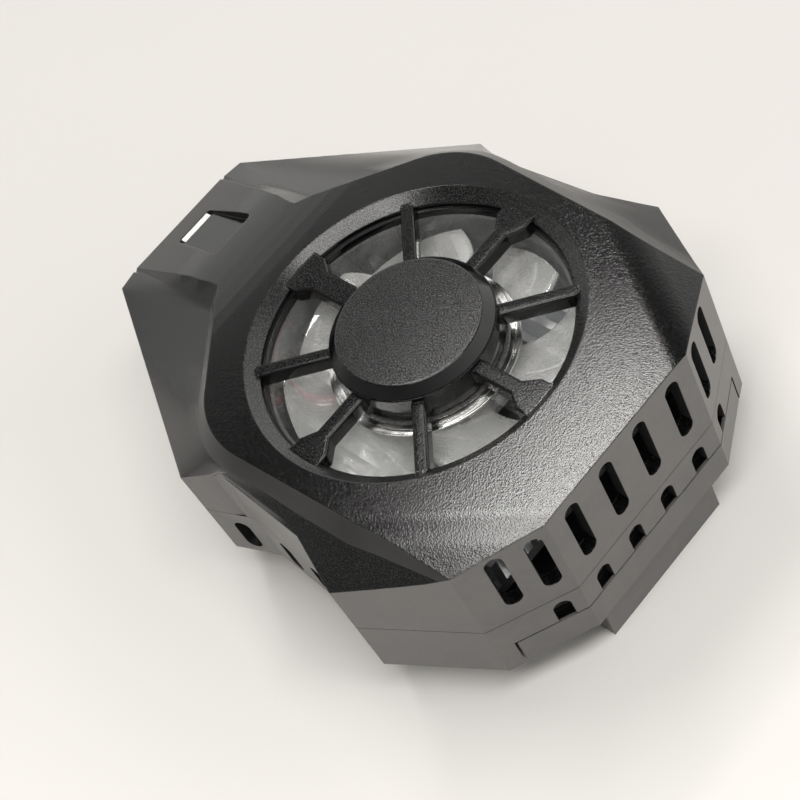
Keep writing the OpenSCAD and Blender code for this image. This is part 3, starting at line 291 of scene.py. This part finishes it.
def satin(name, dark, light, rough, groove_shade_z):
    """Black plastic with a fine satin, faint flow and dust, and a dark line of painted shade, for
    the parting groove, at a given height.
    """
    look = Look(name, edge_mm=0.2, IOR=PLASTIC_IOR)
    fine = look.noise(size=0.07, detail=2)
    cloud = look.noise(size=7, detail=3)
    dust = look.noise(size=1.1, detail=4, rough=0.7)
    tone = look.blend(cloud, dust, 0.4)
    colour = look.ramp(tone, (0.38, grey(dark, 0.03)), (0.66, grey(light, 0.04)))
    # Near black close to that height: painted shade of the parting groove between the top cover and
    # the lower case.
    away = look.calc("ABSOLUTE", look.calc("SUBTRACT", look.coordinate("Z"), groove_shade_z * MM))
    off_groove_shade = look.span(away, 0.05 * MM, 0.09 * MM, 0, 1)
    look.feed("Base Color", look.mix(off_groove_shade, (*grey(0.004), 1), colour))
    look.feed("Roughness", look.vary(cloud, rough - 0.03, rough + 0.04))
    flow = look.relief(cloud, depth=0.02, strength=0.2)
    look.feed("Normal", look.relief(fine, depth=0.003, strength=0.6, under=flow))
    return look.material


def gloss(name, dark, light, rough):
    """Polished black plastic."""
    look = Look(name, edge_mm=0.15, IOR=PLASTIC_IOR)
    cloud = look.noise(size=3, detail=3)
    fine = look.noise(size=0.3, detail=2)
    look.feed("Base Color", look.ramp(cloud, (0.35, grey(dark)), (0.7, grey(light))))
    look.feed("Roughness", look.vary(fine, rough, rough + 0.06))
    look.feed("Normal", look.relief(cloud, depth=0.01, strength=0.2))
    return look.material


def clear(name, dark, light, rough, depth, solid, rim):
    """Clear moulded plastic with a frost, from solid face on to rim at a glancing angle."""
    look = Look(name, IOR=CLEAR_IOR, Transmission_Weight=0.5,
                Coat_Weight=1.0, Coat_IOR=2.2, Coat_Roughness=0.05)
    cloud = look.noise(size=4, detail=3)
    frost = look.noise(size=0.35, detail=1.5)
    look.feed("Base Color", look.ramp(cloud, (0.35, dark), (0.7, light)))
    facing = look.add("ShaderNodeLayerWeight", Blend=0.35).outputs["Facing"]
    fleck = look.span(frost, 0.35, 0.65, -0.04, 0.04)
    uneven = look.calc("ADD", fleck, look.vary(cloud, -0.03, 0.03))
    look.feed("Alpha", look.calc("ADD", look.span(facing, 0.1, 0.8, solid, rim), uneven))
    look.feed("Roughness", look.vary(frost, rough, rough + 0.1))
    look.feed("Normal", look.relief(frost, depth))
    return look.material


def metal(name, dark, light, rough, lay=(1, 1, 1), size=0.4):
    """Bare metal with its drawing or rolling marks along one direction."""
    look = Look(name, Metallic=1.0)
    lines = look.noise(size, detail=3, stretch=lay)
    cloud = look.noise(size=5, detail=3)
    look.feed("Base Color", look.ramp(look.blend(lines, cloud, 0.3), (0.35, dark), (0.65, light)))
    look.feed("Roughness", look.vary(lines, rough, rough + 0.15))
    look.feed("Normal", look.relief(lines, depth=0.01, strength=0.4))
    return look.material


def plain(name, dark, light, rough, size, depth):
    """Rubber, board, foam, ceramic or insulation, each with its own grain."""
    look = Look(name)
    grain = look.noise(size, detail=3)
    cloud = look.noise(size * 12, detail=3)
    look.feed("Base Color", look.ramp(look.blend(grain, cloud, 0.5), (0.38, dark), (0.64, light)))
    look.feed("Roughness", look.vary(grain, rough - 0.06, rough + 0.06))
    look.feed("Normal", look.relief(grain, depth, strength=0.6))
    return look.material


GRAINED = grained("grained_black", dark=0.002, light=0.014, rough=0.10, depth=0.010)
FLANK = grained("flank_black", dark=0.004, light=0.024, rough=0.16, depth=0.010, band=BAND_Z)
RING = grained("ring_black", dark=0.004, light=0.045, rough=0.22, depth=0.012)
# The walls' grey level, well above the black of the top, is partly dust and partly painted sheen.
SATIN = satin("satin_black", dark=0.095, light=0.120, rough=0.36, groove_shade_z=PARTING_Z)
GLOSS = gloss("gloss_black", dark=0.002, light=0.005, rough=0.07)
INNER = plain("inner_black", grey(0.004), grey(0.008), rough=0.6, size=0.4, depth=0.01)
# The cap's strong light specks are partly painted glints.
CAP_TOP = grained("cap_grain", dark=0.001, light=0.050, rough=0.16, depth=0.012)
SPOKE = grained("spoke_grain", dark=0.001, light=0.035, rough=0.14, depth=0.012, shine=0.2)
LIGHT = plain("light_white", (0.80, 0.80, 0.77), (0.92, 0.92, 0.90),
              rough=0.3, size=0.5, depth=0.01)
CLEAR_BLADE = clear("clear_blade", (0.93, 0.94, 0.91), (0.98, 0.98, 0.96),
                    rough=0.14, depth=0.05, solid=0.5, rim=1.0)
CLEAR_HUB = clear("clear_hub", (0.90, 0.90, 0.88), (0.96, 0.96, 0.94),
                  rough=0.05, depth=0.003, solid=0.22, rim=0.7)
CLEAR_FRAME = clear("clear_frame", (0.88, 0.89, 0.88), (0.95, 0.95, 0.94),
                    rough=0.05, depth=0.004, solid=0.16, rim=0.7)
STEEL = metal("bright_steel", (0.60, 0.60, 0.61), (0.84, 0.84, 0.84), rough=0.2, lay=(1, 1, 6))
PLATED = metal("plated_steel", (0.45, 0.45, 0.46), (0.62, 0.62, 0.63), rough=0.28)
RING_STEEL = metal("ring_steel", (0.70, 0.70, 0.68), (0.84, 0.84, 0.82),
                   rough=0.14, lay=(1, 1, 6), size=2.5)
ALUMINIUM = metal("bare_aluminium", (0.74, 0.75, 0.76), (0.88, 0.89, 0.90),
                  rough=0.3, lay=(0.2, 3, 3), size=0.3)
SPRING = metal("spring_steel", (0.40, 0.40, 0.41), (0.60, 0.60, 0.61), rough=0.25)
BRONZE = metal("bearing_bronze", (0.45, 0.30, 0.14), (0.62, 0.44, 0.22), rough=0.35)
COPPER = metal("copper_winding", (0.50, 0.20, 0.08), (0.70, 0.32, 0.14),
               rough=0.3, lay=(6, 6, 0.5), size=0.3)
MAGNET = plain("bonded_magnet", grey(0.05), grey(0.09), rough=0.6, size=0.2, depth=0.01)
BOARD = plain("board_green", (0.012, 0.07, 0.03), (0.02, 0.12, 0.055),
              rough=0.35, size=0.6, depth=0.006)
FOAM = plain("foam_white", (0.72, 0.72, 0.68), (0.86, 0.86, 0.83),
             rough=0.85, size=0.35, depth=0.04)
CERAMIC = plain("ceramic_white", grey(0.80), grey(0.90), rough=0.5, size=0.15, depth=0.004)
PAD = plain("thermal_pad", (0.20, 0.21, 0.23), (0.30, 0.31, 0.33),
            rough=0.6, size=0.5, depth=0.02)
RUBBER = plain("pad_rubber", grey(0.012), grey(0.026), rough=0.62, size=0.18, depth=0.015)
RED = plain("wire_red", (0.45, 0.010, 0.012), (0.62, 0.022, 0.02),
            rough=0.35, size=0.5, depth=0.006)
BLACK = plain("wire_black", grey(0.010), grey(0.022), rough=0.35, size=0.5, depth=0.006)
SCREW = metal("screw_steel", (0.30, 0.30, 0.31), (0.46, 0.46, 0.47), rough=0.32)


# Mesh helpers
SHARP, SOFT = math.radians(24), math.radians(60)
WELD, CAD_WELD = 0.001 * MM, 0.003 * MM


def finish_shape(name, shape, materials, pick=None, soft=None):
    """An object from a bmesh, smooth but for its sharp edges.

    pick chooses each face's material. Between faces of the material soft, wider bends stay smooth.
    """
    bmesh.ops.recalc_face_normals(shape, faces=shape.faces)
    for face in shape.faces:
        face.smooth = True
        if pick:
            finish = pick(face.calc_center_median() / MM, face.normal)
            face.material_index = materials.index(finish)
    soft_index = materials.index(soft) if soft else None
    for edge in shape.edges:
        all_soft = all(face.material_index == soft_index for face in edge.link_faces)
        limit = SOFT if all_soft else SHARP
        edge.smooth = len(edge.link_faces) == 2 and edge.calc_face_angle(0) < limit
    data = bpy.data.meshes.new(name)
    shape.to_mesh(data)
    shape.free()
    for material in materials:
        data.materials.append(material)
    piece = add_object(name, data)
    normals = piece.modifiers.new("normals", "WEIGHTED_NORMAL")
    normals.keep_sharp = True
    return piece


def dress(piece, body, slot, *nodes):
    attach(piece, body)
    if nodes:
        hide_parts(*nodes)


def shell(name, node, body, slot, materials, pick=None, soft=None, carve=None):
    """A CAD node's own shape, carved where that is asked, with a finish for each of its faces."""
    shape = bmesh.new()
    shape.from_mesh(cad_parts[node].data)
    bmesh.ops.remove_doubles(shape, verts=shape.verts, dist=CAD_WELD)
    if carve:
        carve(shape)
    dress(finish_shape(name, shape, materials, pick, soft), body, slot, node)


def by_slope(limit, top, side):
    """A choice of top for faces that point up by more than a limit, and of side for the rest."""
    return lambda spot, normal: top if normal.z > limit else side


def turns(steps):
    return [2 * math.pi * i / steps for i in range(steps)]


def turned(degrees):
    return Matrix.Rotation(math.radians(degrees), 4, "Z")


def both_sides(half):
    return half + [(x, -y) for x, y in reversed(half)]


def join_rows(shape, rows, closed=True):
    """Quads between rows of points."""
    for low, high in zip(rows, rows[1:]):
        count = len(low)
        for i in range(count if closed else count - 1):
            j = (i + 1) % count
            shape.faces.new((low[i], low[j], high[j], high[i]))


def close_rows(shape, rows):
    """Quads between rows of points, and a face over each end."""
    join_rows(shape, rows)
    shape.faces.new(rows[0][::-1])
    shape.faces.new(rows[-1])


def lathe(shape, profile, steps=96):
    """A closed profile of (radius, height) turned about the fan axis."""
    rows = []
    for r, z in profile + profile[:1]:
        rows.append([shape.verts.new((r * math.cos(t) * MM, r * math.sin(t) * MM, z * MM))
                     for t in turns(steps)])
    join_rows(shape, rows)
    bmesh.ops.remove_doubles(shape, verts=shape.verts, dist=WELD)


def round_bar(shape, profile, place, steps):
    """A closed round piece about its own axis; a radius may depend on the angle."""
    rows = []
    for radius, z in profile:
        row = []
        for t in turns(steps):
            r = radius(t) if callable(radius) else radius
            spot = Vector((r * math.cos(t), r * math.sin(t), z)) * MM
            row.append(shape.verts.new(place @ spot))
        rows.append(row)
    close_rows(shape, rows)


def rounded_profile(corners, steps=4):
    """Corners as (radius, height, rounding), made into points."""
    points = []
    count = len(corners)
    for i, (x, z, r) in enumerate(corners):
        if not r:
            points.append((x, z))
            continue
        here = Vector((x, z))
        before = (Vector(corners[i - 1][:2]) - here).normalized()
        after = (Vector(corners[(i + 1) % count][:2]) - here).normalized()
        half = before.angle(after) / 2
        reach = r / math.tan(half)
        start, end = here + before * reach, here + after * reach
        middle = here + (before + after).normalized() * r / math.sin(half)
        for k in range(steps + 1):
            way = (start - middle).lerp(end - middle, k / steps)
            spot = middle + way.normalized() * r
            points.append((spot.x, spot.y))
    return points


def inset(outline, distance):
    """The outline with every edge moved inwards."""
    moved = []
    count = len(outline)
    for i in range(count):
        a, p, b = (Vector(outline[(i + k) % count]) for k in (-1, 0, 1))
        u, v = (p - a).normalized(), (b - p).normalized()
        m, n = Vector((-u.y, u.x)), Vector((-v.y, v.x))
        moved.append(p + (m + n) * distance / (1 + m.dot(n)))
    return moved


def plate(shape, outline, z0, z1, rounding, place, steps=3):
    """A flat piece with rounded edges, turned and moved to its place."""
    ease = [(rounding * (1 - math.cos(t)), rounding * (1 - math.sin(t)))
            for t in (math.pi / 2 * k / steps for k in range(steps, -1, -1))]
    levels = [(d, z0 + h) for d, h in ease] + [(d, z1 - h) for d, h in reversed(ease)]
    rows = []
    for d, z in levels:
        rows.append([shape.verts.new(place @ (Vector((*p, z)) * MM)) for p in inset(outline, d)])
    close_rows(shape, rows)


def smooth_path(points, parts=6):
    """A curve through the points."""
    spots = [Vector(p) for p in points]
    spots = [2 * spots[0] - spots[1]] + spots + [2 * spots[-1] - spots[-2]]
    path = []
    for a, b, c, d in zip(spots, spots[1:], spots[2:], spots[3:]):
        for k in range(parts):
            t = k / parts
            path.append(0.5 * (2 * b + (c - a) * t + (2 * a - 5 * b + 4 * c - d) * t * t
                               + (3 * b - a - 3 * c + d) * t ** 3))
    return path + [spots[-2]]


def tube(shape, path, radius, steps=10):
    """A round wire along a path, closed at both ends."""
    rows = []
    side = None
    for i, spot in enumerate(path):
        along = (path[min(i + 1, len(path) - 1)] - path[max(i - 1, 0)]).normalized()
        side = (side or along.orthogonal()).cross(along)
        side = along.cross(side).normalized()
        other = along.cross(side)
        rows.append([
            shape.verts.new((spot + (side * math.cos(t) + other * math.sin(t)) * radius) * MM)
            for t in turns(steps)
        ])
    close_rows(shape, rows)


# Case
def wall_planes():
    """Each wall of the case as a point on it and its outward direction."""
    corners = [Vector(p) for p in both_sides(HALF_PLAN)]
    planes = []
    for a, b in zip(corners, corners[1:] + corners[:1]):
        along = (b - a).normalized()
        planes.append((a, Vector((along.y, -along.x))))
    return planes


WALLS = wall_planes()


def on_outer_wall(spot, normal):
    here, way = Vector(spot[:2]), Vector(normal[:2])
    return any(abs((here - a).dot(out)) < WALL_NEAR and abs(way.dot(out)) > 0.9 for a, out in WALLS)


def cover_finish(spot, normal):
    """Grain on the top, a band on the flanks, a rough ring, a polished opening, satin walls."""
    radius = math.hypot(spot.x, spot.y)
    if normal.z > 0.05:
        if radius < RING_R and normal.z < 0.97 and spot.z > RING_Z:
            return RING
        on_flank = radius > RING_R and normal.z < 0.86 and abs(spot.y) > FLANK_Y
        return FLANK if on_flank else GRAINED
    if on_outer_wall(spot, normal):
        return SATIN
    return GLOSS if radius < OPENING_R + 0.1 else INNER


def case_finish(spot, normal):
    """Satin outside, dark inside."""
    outside = on_outer_wall(spot, normal) or spot.z < BOTTOM_Z + 0.1
    return SATIN if outside else INNER


def groove_clip(shape):
    """A groove along the top of the clip's rim, behind a narrow lip."""
    top = [
        face for face in shape.faces
        if face.normal.z > 0.99 and abs(face.calc_center_median().z / MM - CLIP_TOP_Z) < 0.01
    ]
    for lip, sink in ((CLIP_LIP, 0), (GROOVE_DRAFT, GROOVE_DEPTH)):
        bmesh.ops.inset_region(shape, faces=top, thickness=lip * MM, depth=-sink * MM,
                               use_even_offset=True)


def clip_finish(spot, normal):
    """Satin, but dark in the groove and on the rim's inner lip."""
    here = Vector(spot[:2])
    to_wall = min(abs((here - a).dot(out)) for a, out in WALLS)
    in_rim = spot.x > CLIP_RIM_X and spot.z > CLIP_TOP_Z - GROOVE_DEPTH - 0.01
    past_lip = normal.z > 0.9 and to_wall > CLIP_LIP
    in_groove = spot.z < CLIP_TOP_Z - 0.1 and CLIP_LIP / 2 < to_wall < CLIP_RIM_T - 0.1
    return INNER if in_rim and (past_lip or in_groove) else SATIN


def make_case():
    cover = [GRAINED, GLOSS, SATIN, INNER, FLANK, RING]
    shell("top_shell", "top_cover", "case", "grained_plastic", cover, cover_finish, soft=FLANK)
    shell("lower_shell", "lower_case", "case", "satin_plastic", [SATIN, INNER], case_finish)
    shell("clip_shell", "sliding_clip", "clip", "satin_plastic", [SATIN, INNER], clip_finish,
          carve=groove_clip)


# Grille and cap
def straight_spoke(width, steps=8):
    """Plan of a spoke with a round tip."""
    r = width / 2
    around = [math.radians(-90 + 180 * k / steps) for k in range(steps + 1)]
    tip = [(SPOKE_TIP - r + r * math.cos(t), r * math.sin(t)) for t in around]
    return tip + [(SPOKE_ROOT, r), (SPOKE_ROOT, -r)]


def flared_spoke(width):
    """Plan of a spoke that widens at its tip."""
    r = width / 2
    half = [(SPOKE_TIP, r + FLARE_Y), (FLARE_X, r + FLARE_Y), (FLARE_FOOT_X, r), (SPOKE_ROOT, r)]
    return [(x, -y) for x, y in reversed(half)] + half


def make_grille():
    shape = bmesh.new()
    for plan, width, angles in (
        (straight_spoke, STRAIGHT_W, (45, 135, 225, 315)),
        (flared_spoke, FLARED_W, (0, 90, 270)),
        (flared_spoke, BROAD_W, (180,)),
    ):
        for angle in angles:
            plate(shape, plan(width + 2 * PROUD), SPOKE_Z0, SPOKE_Z1 + PROUD, SPOKE_ROUND,
                  turned(angle))
    roof = HUB_Z1 - HUB_ROOF
    lathe(shape, rounded_profile([
        (PEG_HOLE_R, roof, 0), (HUB_SKIRT_R, roof, 0), (HUB_SKIRT_R, HUB_Z0, 0.2),
        (HUB_R, HUB_Z0, 0.3), (HUB_R, HUB_Z1, 0.1), (PEG_HOLE_R, HUB_Z1, 0),
    ]))
    wheel = finish_shape("grille_wheel", shape, [SPOKE, GLOSS], by_slope(0.75, SPOKE, GLOSS))
    dress(wheel, "case", "grained_plastic", "fan_grille")


def make_cap():
    shape = bmesh.new()
    foot, peg_end = HUB_Z1 + 0.01, HUB_Z1 - HUB_ROOF
    lathe(shape, rounded_profile([
        (0, CAP_Z1, 0), (CAP_TOP_R, CAP_Z1, 0.3), (CAP_R, HUB_Z1 + 0.06, 0.1),
        (CAP_FOOT_R, foot, 0), (PEG_R, foot, 0), (PEG_R, peg_end, 0.3), (0, peg_end, 0),
    ]), steps=144)
    cap = finish_shape("cap_disc", shape, [CAP_TOP, GLOSS], by_slope(0.93, CAP_TOP, GLOSS))
    dress(cap, "case", "cap_plastic", "hub_cap")


# Fan
def blade_point(u, s, up):
    """A point of a blade's upper or lower face, a share u out from the hub and s along the turn."""
    r = BLADE_R0 + (BLADE_R1 - BLADE_R0) * u
    turn = math.radians(BLADE_SWEEP * s + BLADE_LEAN * u * u)
    to_edge = min(s, 1 - s) * math.radians(BLADE_SWEEP) * r
    to_edge = min(to_edge, (1 - u) * (BLADE_R1 - BLADE_R0))
    share = min(1, to_edge / BLADE_EDGE)
    half = BLADE_T / 2 * math.sqrt(1 - (1 - share) ** 2)
    z = BLADE_FOOT_Z + BLADE_T / 2 + BLADE_RISE * (1 - s ** BLADE_BEND) + up * half
    return r * math.cos(turn), r * math.sin(turn), z


def eased(count):
    """Shares from 0 to 1, closer together at both ends."""
    return [0.5 - 0.5 * math.cos(math.pi * k / count) for k in range(count + 1)]


def hub_or_blade(spot, normal):
    return CLEAR_HUB if math.hypot(spot.x, spot.y) < ROTOR_R + 0.02 else CLEAR_BLADE


def make_fan():
    shape = bmesh.new()
    rows, columns = eased(16), eased(24)
    for blade in range(BLADES):
        spin = turned(360 / BLADES * blade)
        for up in (-1, 1):
            grid = [
                [shape.verts.new(spin @ (Vector(blade_point(u, s, up)) * MM)) for s in columns]
                for u in rows
            ]
            join_rows(shape, grid if up < 0 else grid[::-1], closed=False)
    bmesh.ops.remove_doubles(shape, verts=shape.verts, dist=WELD)
    neck, inside, roof = ROTOR_R - NECK_STEP, ROTOR_R - ROTOR_WALL, ROTOR_Z1 - ROTOR_ROOF
    lathe(shape, rounded_profile([
        (0, ROTOR_Z1, 0), (neck, ROTOR_Z1, 0.2), (neck, ROTOR_Z1 - NECK_H, 0.1),
        (ROTOR_R, ROTOR_Z1 - SHOULDER_H, 0.12), (ROTOR_R, ROTOR_Z0, 0.15),
        (inside, ROTOR_Z0, 0.15), (inside, roof, 0.1), (BOSS_R, roof, 0.2), (BOSS_R, BOSS_Z, 0.1),
        (BORE_R, BOSS_Z, 0), (BORE_R, ROTOR_Z1 - BORE_ROOF, 0), (0, ROTOR_Z1 - BORE_ROOF, 0),
    ]))
    wheel = finish_shape("fan_wheel", shape, [CLEAR_BLADE, CLEAR_HUB], hub_or_blade)
    dress(wheel, "rotor", "clear_plastic", "fan_rotor")
    shell("fan_duct", "fan_frame", "case", "clear_plastic", [CLEAR_FRAME])


def make_hub_ring():
    """The bright ring round the top of the rotor's hub, with a groove turned in it."""
    shape = bmesh.new()
    inner, groove, outer = ROTOR_R - 0.28, ROTOR_R + 0.3, ROTOR_R + 1.05
    top = ROTOR_Z1 - 0.03
    groove_z, foot = top - 0.15, top - 0.4
    lathe(shape, rounded_profile([
        (inner, top, 0), (groove, top, 0.04), (groove + 0.04, groove_z, 0.03),
        (groove + 0.2, groove_z, 0.03), (groove + 0.24, top - 0.03, 0.04),
        (outer, top - 0.12, 0.1), (outer, foot, 0.1), (inner, foot, 0),
    ]), steps=144)
    dress(finish_shape("hub_ring", shape, [RING_STEEL]), "rotor", "motor_steel")


# Light bar and power socket
def socket_finish(spot, normal):
    """Plated shell round a dark tongue."""
    in_tongue = abs(spot.z - SOCKET_Z) < TONGUE_HALF_H and abs(spot.y) < TONGUE_HALF_W
    return INNER if in_tongue and abs(normal.x) < 0.9 else PLATED


def make_fittings():
    shell("light_bar", "light_guide", "case", "light_plastic", [LIGHT])
    shell("power_socket", "usb_socket", "case", "socket_steel", [PLATED, INNER], socket_finish)


# Jaw pads and springs
def ribbed_outline(steps=8):
    """Plan of a pad that lies along Y, with its ribs towards +X."""
    base = PAD_T - RIB_H
    points = [(0, -PAD_HALF), (base, -PAD_HALF)]
    for k in range(RIBS):
        y = -PAD_HALF + RIB_STEP * (k + 0.5)
        points.append((base, y - RIB_W / 2))
        for t in (math.pi * s / steps for s in range(1, steps)):
            points.append((base + RIB_H * math.sin(t), y - RIB_W / 2 * math.cos(t)))
        points.append((base, y + RIB_W / 2))
    return points + [(base, PAD_HALF), (0, PAD_HALF)]


def make_pad(name, node, body, back_x, angle):
    shape = bmesh.new()
    place = Matrix.Translation((back_x * MM, 0, 0)) @ turned(angle)
    plate(shape, ribbed_outline(), PAD_Z0, PAD_Z1, PAD_ROUND, place)
    dress(finish_shape(name, shape, [RUBBER]), body, "pad_rubber", node)


def spring_eye(x, way, steps=24):
    """Points round a post or pin at x, open towards the coil."""
    points = []
    for k in range(steps + 1):
        t = 2 * math.pi * (k / steps - 0.5) * EYE_SHARE + math.pi
        points.append((x + way * EYE_R * math.cos(t), EYE_R * math.sin(t), 0))
    return points


def spring_coil(start, end, steps=16):
    """Points of the turns, which grow from the spring's axis and come back to it in half a turn."""
    points = []
    count = TURNS * steps
    for k in range(count + 1):
        t = 2 * math.pi * k / steps
        grow = min(1, k / (steps / 2), (count - k) / (steps / 2))
        r = (SPRING_R - SPRING_WIRE / 2) * grow
        x = start + COIL_TAIL + (end - start - 2 * COIL_TAIL) * k / count
        points.append((x, r * math.sin(t), r * math.cos(t)))
    return points


def make_springs():
    """Close-wound springs with an eye at each end, between the post on the case and the pin on the
    clip.
    """
    shape = bmesh.new()
    start, end = POST_X + EYE_R, PIN_X - EYE_R
    points = spring_eye(POST_X, -1) + spring_coil(start, end) + spring_eye(PIN_X, 1)
    for y in (SPRING_Y, -SPRING_Y):
        middle = Vector((0, y, SPRING_Z))
        tube(shape, [middle + Vector(p) for p in points], SPRING_WIRE / 2 - WIRE_SLACK, steps=8)
    springs = finish_shape("coil_springs", shape, [SPRING])
    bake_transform(springs)
    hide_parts("return_springs")


# Screws and wires
def cross_radius(turn):
    """Outline of a cross recess at an angle."""
    turn = abs((turn + math.pi / 4) % (math.pi / 2) - math.pi / 4)
    return min(CROSS_REACH / math.cos(turn), CROSS_HALF / max(math.sin(turn), 1e-6))


def cross_floor(turn):
    return cross_radius(turn) * CROSS_TAPER


# Radius and height, from the floor of the recess round the head and up the thread to the tip
SCREW_PROFILE = [
    (cross_floor, 2.9), (cross_radius, 2.2), (1.55, 2.2), (1.74, 2.28), (1.8, 2.45),
    (1.8, 3.4), (1.0, 3.4), (1.0, 15.2), (0.7, 15.6),
]


def make_case_screws():
    shape = bmesh.new()
    for x, y in SCREWS:
        round_bar(shape, SCREW_PROFILE, Matrix.Translation((x * MM, y * MM, 0)), steps=48)
    dress(finish_shape("case_screw_set", shape, [SCREW]), "case", "screw_steel", "case_screws")


def make_wires(name, node, slot, material, *routes):
    shape = bmesh.new()
    for route in routes:
        tube(shape, smooth_path(route), WIRE_R)
    dress(finish_shape(name, shape, [material]), "case", slot, node)


# CAD nodes that keep their own shape
CAD_LOOKS = {
    "rotor_yoke": STEEL, "magnet_ring": MAGNET, "motor_shaft": STEEL, "shaft_clip": STEEL,
    "bearing_sleeve": BRONZE, "stator_core": PLATED, "stator_coils": COPPER,
    "motor_board": BOARD, "heat_sink": ALUMINIUM, "insulation_frame": FOAM,
    "peltier_module": CERAMIC, "cold_plate": ALUMINIUM, "contact_pad": PAD,
    "main_board": BOARD, "status_led": LIGHT,
    "clamp_screws": SCREW, "fan_screws": SCREW, "board_screws": SCREW,
}


def paint_cad_nodes():
    for node, material in CAD_LOOKS.items():
        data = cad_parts[node].data
        data.materials.clear()
        data.materials.append(material)


# Studio
def make_floor():
    shape = bmesh.new()
    shape.faces.new([
        shape.verts.new((x * FLOOR_HALF, y * FLOOR_HALF, TABLE_Z * MM))
        for x, y in ((-1, -1), (1, -1), (1, 1), (-1, 1))
    ])
    data = bpy.data.meshes.new("floor")
    shape.to_mesh(data)
    shape.free()
    floor = add_object("floor", data)
    look = Look("floor_paper", Roughness=0.9)
    # Lighter towards the camera side, along X minus Y: painted light falloff across the table.
    near = look.calc("SUBTRACT", look.coordinate("X"), look.coordinate("Y"))
    grade = look.blend(look.span(near, *FLOOR_GRADE, 0, 1), look.noise(size=60, detail=2), 0.1)
    look.feed("Base Color", look.ramp(grade, (0.0, FLOOR_DIM), (1.0, FLOOR_BRIGHT)))
    data.materials.append(look.material)


def make_panel(name, place, along, length, width, power):
    data = bpy.data.lights.new(name, "AREA")
    data.shape = "RECTANGLE"
    data.size, data.size_y = width, length
    data.energy = power
    data.color = PANEL_TINT
    lamp = add_object(name, data)
    up = Vector((0, 0, 1))
    side = Vector(along).cross(up).normalized()
    axes = Matrix((side, up.cross(side), up)).transposed()
    lamp.matrix_world = Matrix.Translation((*place, PANEL_Z)) @ axes.to_4x4()


def make_world():
    """Pale walls under a dark ceiling, strong on the +Y side and dim on the other."""
    world = bpy.data.worlds.new("studio")
    bpy.context.scene.world = world
    world.use_nodes = True
    tree = world.node_tree
    background = tree.nodes["Background"]
    way = tree.nodes.new("ShaderNodeTexCoord").outputs["Generated"]
    parts = tree.nodes.new("ShaderNodeSeparateXYZ")
    tree.links.new(way, parts.inputs[0])
    ramp = tree.nodes.new("ShaderNodeValToRGB")
    tree.links.new(parts.outputs["Z"], ramp.inputs["Fac"])
    marks = ramp.color_ramp.elements
    while len(marks) < len(SKY):
        marks.new(0.5)
    for mark, (height, level) in zip(marks, SKY):
        mark.position = height
        mark.color = (*(level * tint for tint in SKY_TINT), 1)
    tree.links.new(ramp.outputs["Color"], background.inputs["Color"])
    turn = tree.nodes.new("ShaderNodeVectorMath")
    turn.operation = "DOT_PRODUCT"
    turn.inputs[1].default_value = BRIGHT_WAY
    tree.links.new(way, turn.inputs[0])
    strength = tree.nodes.new("ShaderNodeMapRange")
    for name, value in BRIGHT_SPAN:
        strength.inputs[name].default_value = value
    tree.links.new(turn.outputs["Value"], strength.inputs["Value"])
    tree.links.new(strength.outputs["Result"], background.inputs["Strength"])


make_camera()
make_case()
make_grille()
make_cap()
make_fan()
make_hub_ring()
make_fittings()
make_pad("fixed_grip", "fixed_jaw_pad", "case", FIXED_PAD_X, 0)
make_pad("clip_grip", "clip_jaw_pad", "clip", CLIP_PAD_X, 180)
make_springs()
make_case_screws()
make_wires("red_leads", "red_wires", "wire_red", RED, RED_FAN_ROUTE, RED_LEAD_ROUTE)
make_wires("black_leads", "black_wires", "wire_black", BLACK, BLACK_FAN_ROUTE, BLACK_LEAD_ROUTE)
paint_cad_nodes()
make_floor()
for panel in PANELS:
    make_panel(*panel)
make_world()
bpy.context.scene.view_settings.view_transform = "Standard"
